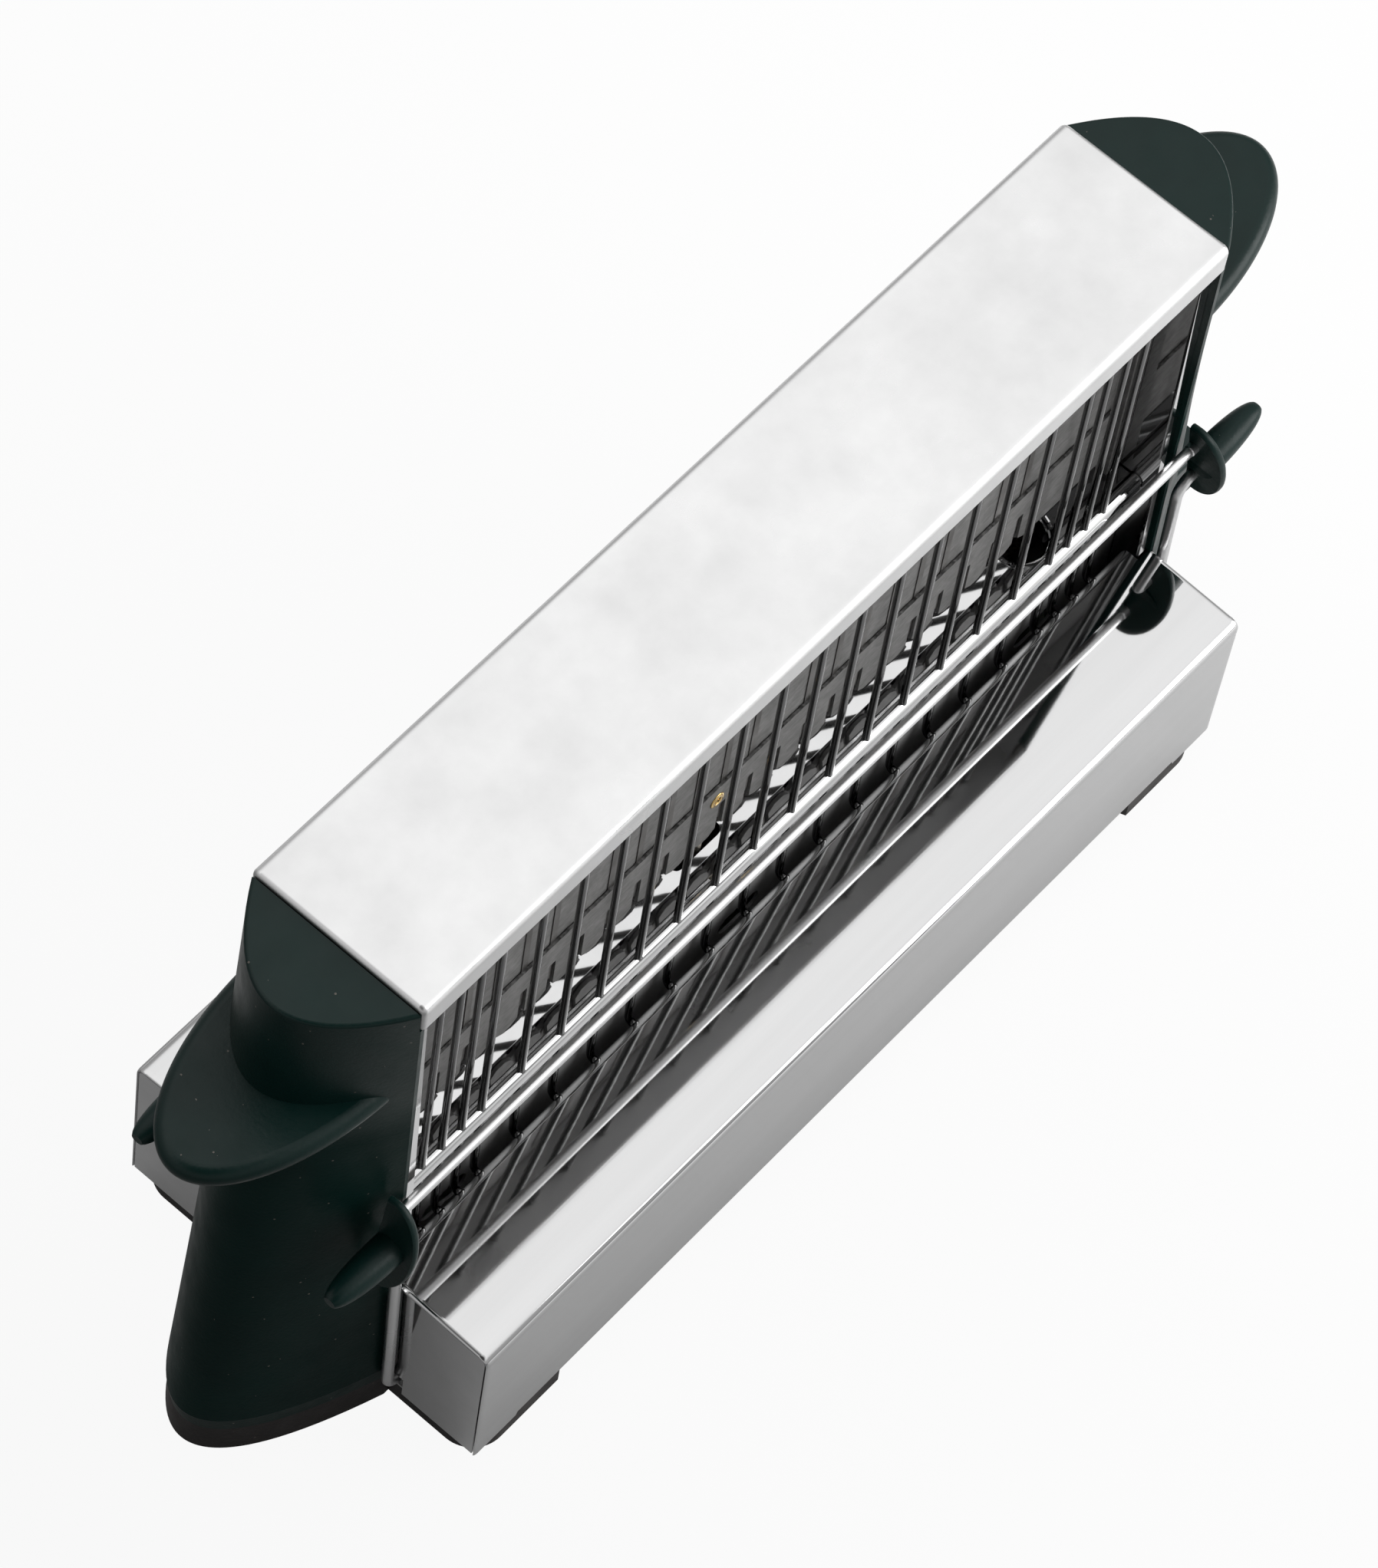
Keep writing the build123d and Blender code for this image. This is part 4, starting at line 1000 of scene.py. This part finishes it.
class TOASTER_OT_chamber(bpy.types.Operator):
    """Build the chamber floor with its pierced ledges"""

    bl_idname = "toaster.chamber"
    bl_label = "Chamber floor"

    def execute(self, context):
        parts = [chamber_floor_part(), drawn_collar(-1), drawn_collar(1)]
        floor = make_piece(
            "floor_tray", parts, MATERIALS["polished_steel"], CHASSIS,
            ("chamber_floor",), sharp=12.0, closed=False,
        )
        thicken(floor, millimetres(context.scene.toaster_sizes.sheet))
        return {"FINISHED"}


class TOASTER_OT_strips(bpy.types.Operator):
    """Build the mica strip and the eyelet of each side"""

    bl_idname = "toaster.strips"
    bl_label = "Strips and eyelets"

    def execute(self, context):
        for name, side in SIDES:
            strip = make_piece(
                f"slit_strip_{name}", strip_parts(side), MATERIALS["holding_strip"], CHASSIS,
                (f"strip_{name}",), closed=False,
            )
            thicken(strip, STRIP_INNER - STRIP_OUTER)
            make_piece(
                f"rolled_eyelet_{name}", eyelet_parts(side), MATERIALS["brass"], CHASSIS,
                (f"eyelet_{name}",),
            )
        return {"FINISHED"}


class TOASTER_OT_base_sheets(bpy.types.Operator):
    """Build the cover of the base on each side"""

    bl_idname = "toaster.base_sheets"
    bl_label = "Base covers"

    def execute(self, context):
        for name, side in SIDES:
            sheet = make_piece(
                f"base_sheet_{name}", base_sheet_parts(side), MATERIALS["deck_steel"], CHASSIS,
                (f"base_cover_{name}",), closed=False,
            )
            thicken(sheet, millimetres(context.scene.toaster_sizes.sheet))
        return {"FINISHED"}


class TOASTER_OT_rods(bpy.types.Operator):
    """Build the rod of each bail"""

    bl_idname = "toaster.rods"
    bl_label = "Rods"

    def execute(self, context):
        for name, side in SIDES:
            make_piece(
                f"rod_{name}", rod_parts(side), MATERIALS["bail_steel"], f"{name}_bail",
                (f"{name}_rod",),
            )
        return {"FINISHED"}


class TOASTER_OT_knobs(bpy.types.Operator):
    """Build the four knobs of the two bails"""

    bl_idname = "toaster.knobs"
    bl_label = "Knobs"

    def execute(self, context):
        for side_name, side in SIDES:
            for end_name, end in ENDS:
                make_piece(
                    f"knob_{side_name}_{end_name}", knob_parts(side, end), MATERIALS["knob_plastic"],
                    f"{side_name}_bail", (f"{side_name}_knob_{end_name}",),
                )
        return {"FINISHED"}


# Stage


def studio_disc():
    """Round floor: flat rings about the origin, closed in the middle by one face."""
    turn = turns(64)
    radii = np.array(FLOOR_RINGS)[:, None]
    x, y = radii * np.cos(turn), radii * np.sin(turn)
    mesh = bpy.data.meshes.new("studio_floor")
    faces = grid_quads(*x.shape, close_columns=True)[:, ::-1].tolist() + [list(range(len(turn)))]
    mesh.from_pydata(np.stack([x, y, np.zeros_like(x)], -1).reshape(-1, 3).tolist(), [], faces)
    return mesh


def make_studio_floor(colour):
    """Matt floor that the camera sees nearly white, with a trace of the shadow left; its colour carries
    painted shade, greyer to the left, where the studio is dimmer, and painted light, paler to the right."""
    tree, shader, coords = new_material("studio_floor", colour, 0.0, 0.8)
    across = add_node(tree, "ShaderNodeSeparateXYZ", Vector=coords).outputs["X"]
    place = add_node(
        tree, "ShaderNodeMapRange", Value=across, From_Min=-FLOOR_SHADING_REACH, From_Max=FLOOR_SHADING_REACH,
    )
    # Painted shade and light: the floor's colour is darker to the left and paler to the right
    tones = [(stop, tuple(min(c * share, 1.0) for c in colour)) for stop, share in FLOOR_PAINTED_SHADING]
    tree.links.new(ramp(tree, place.outputs["Result"], tones), shader.inputs["Base Color"])
    path = add_node(tree, "ShaderNodeLightPath").outputs
    through = math_node(tree, "MAXIMUM", path["Is Glossy Ray"], path["Is Transmission Ray"])
    seen = math_node(tree, "MULTIPLY", path["Is Camera Ray"], FLOOR_SEEN)
    reflected = math_node(tree, "MULTIPLY", through, FLOOR_REFLECTED)
    white = add_node(tree, "ShaderNodeEmission", Color=(1, 1, 1, 1), Strength=1.0)
    mix = add_node(tree, "ShaderNodeMixShader", Fac=math_node(tree, "MAXIMUM", seen, reflected))
    tree.links.new(shader.outputs["BSDF"], mix.inputs[1])
    tree.links.new(white.outputs["Emission"], mix.inputs[2])
    tree.links.new(mix.outputs["Shader"], tree.nodes["Material Output"].inputs["Surface"])


def set_dome(scene):
    """Studio dome: bright overhead, greyer to the horizon, dark round the place of the camera."""
    world = bpy.data.worlds.new("studio")
    world.use_nodes = True
    scene.world = world
    tree = world.node_tree
    way = add_node(tree, "ShaderNodeTexCoord").outputs["Generated"]
    dome = ramp(tree, height_of(tree, way), DOME_LEVELS)
    towards = tree.nodes.new("ShaderNodeVectorMath")
    towards.operation = "DOT_PRODUCT"
    tree.links.new(way, towards.inputs[0])
    towards.inputs[1].default_value = CAMERA_BACK
    hood = ramp(tree, towards.outputs["Value"], HOOD_LEVELS)
    light = math_node(tree, "MULTIPLY", math_node(tree, "MULTIPLY", dome, hood), DOME_STRENGTH)
    tree.links.new(light, tree.nodes["Background"].inputs["Strength"])
    tree.nodes["Background"].inputs["Color"].default_value = (1, 1, 1, 1)


def add_softbox(scene):
    """Soft square lamp, turned to the toaster."""
    lamp = bpy.data.lights.new("softbox", "AREA")
    lamp.shape = "SQUARE"
    lamp.size = SOFTBOX_SIZE
    lamp.energy = SOFTBOX_POWER
    rig = bpy.data.objects.new("softbox", lamp)
    rig.location = SOFTBOX_PLACE
    towards = Vector(SOFTBOX_TARGET) - Vector(SOFTBOX_PLACE)
    rig.rotation_euler = towards.to_track_quat("-Z", "Y").to_euler()
    scene.collection.objects.link(rig)


def add_camera(scene):
    """The camera, at the place and with the directions given at the top."""
    camera = bpy.data.objects.new("photo_camera", bpy.data.cameras.new("photo_camera"))
    camera.data.lens = CAMERA_LENS
    camera.data.sensor_width = CAMERA_SENSOR
    camera.data.clip_end = 100.0
    turned_to = Matrix((CAMERA_RIGHT, CAMERA_UP, CAMERA_BACK)).transposed().to_4x4()
    camera.matrix_world = Matrix.Translation(CAMERA_PLACE) @ turned_to
    scene.collection.objects.link(camera)
    scene.camera = camera


class TOASTER_OT_stage(bpy.types.Operator):
    """Set the floor, the soft light and the camera"""

    bl_idname = "toaster.stage"
    bl_label = "Stage"

    def execute(self, context):
        scene = context.scene
        floor = bpy.data.objects.new("studio_floor", studio_disc())
        scene.collection.objects.link(floor)
        make_studio_floor(tuple(scene.toaster_colours.stage_floor))
        floor.data.materials.append(MATERIALS["studio_floor"])
        set_dome(scene)
        add_softbox(scene)
        add_camera(scene)
        scene.view_settings.view_transform = "Standard"
        return {"FINISHED"}


# Panel and registration


class TOASTER_PT_panel(bpy.types.Panel):
    """Sidebar panel with the sizes, the colours and the steps"""

    bl_label = "Toaster"
    bl_idname = "TOASTER_PT_panel"
    bl_space_type = "VIEW_3D"
    bl_region_type = "UI"
    bl_category = "Toaster"

    def draw(self, context):
        for group in (context.scene.toaster_sizes, context.scene.toaster_colours):
            for name in group.__annotations__:
                self.layout.prop(group, name)
        for step in STEPS:
            self.layout.operator(step.bl_idname)


STEPS = (
    TOASTER_OT_finishes,
    TOASTER_OT_guards,
    TOASTER_OT_chamber,
    TOASTER_OT_strips,
    TOASTER_OT_base_sheets,
    TOASTER_OT_rods,
    TOASTER_OT_knobs,
    TOASTER_OT_stage,
)
CLASSES = (TOASTER_PG_sizes, TOASTER_PG_colours, *STEPS, TOASTER_PT_panel)


def register():
    """Registers the classes and hangs the settings on the scene."""
    for entry in CLASSES:
        bpy.utils.register_class(entry)
    bpy.types.Scene.toaster_sizes = PointerProperty(type=TOASTER_PG_sizes)
    bpy.types.Scene.toaster_colours = PointerProperty(type=TOASTER_PG_colours)


def unregister():
    """Takes back what register did."""
    del bpy.types.Scene.toaster_colours
    del bpy.types.Scene.toaster_sizes
    for entry in reversed(CLASSES):
        bpy.utils.unregister_class(entry)


def main():
    """Runs every step in order."""
    register()
    for step in STEPS:
        area, call = step.bl_idname.split(".")
        if getattr(getattr(bpy.ops, area), call)() != {"FINISHED"}:
            raise RuntimeError(f"{step.bl_label} did not finish")


if __name__ == "__main__":
    main()
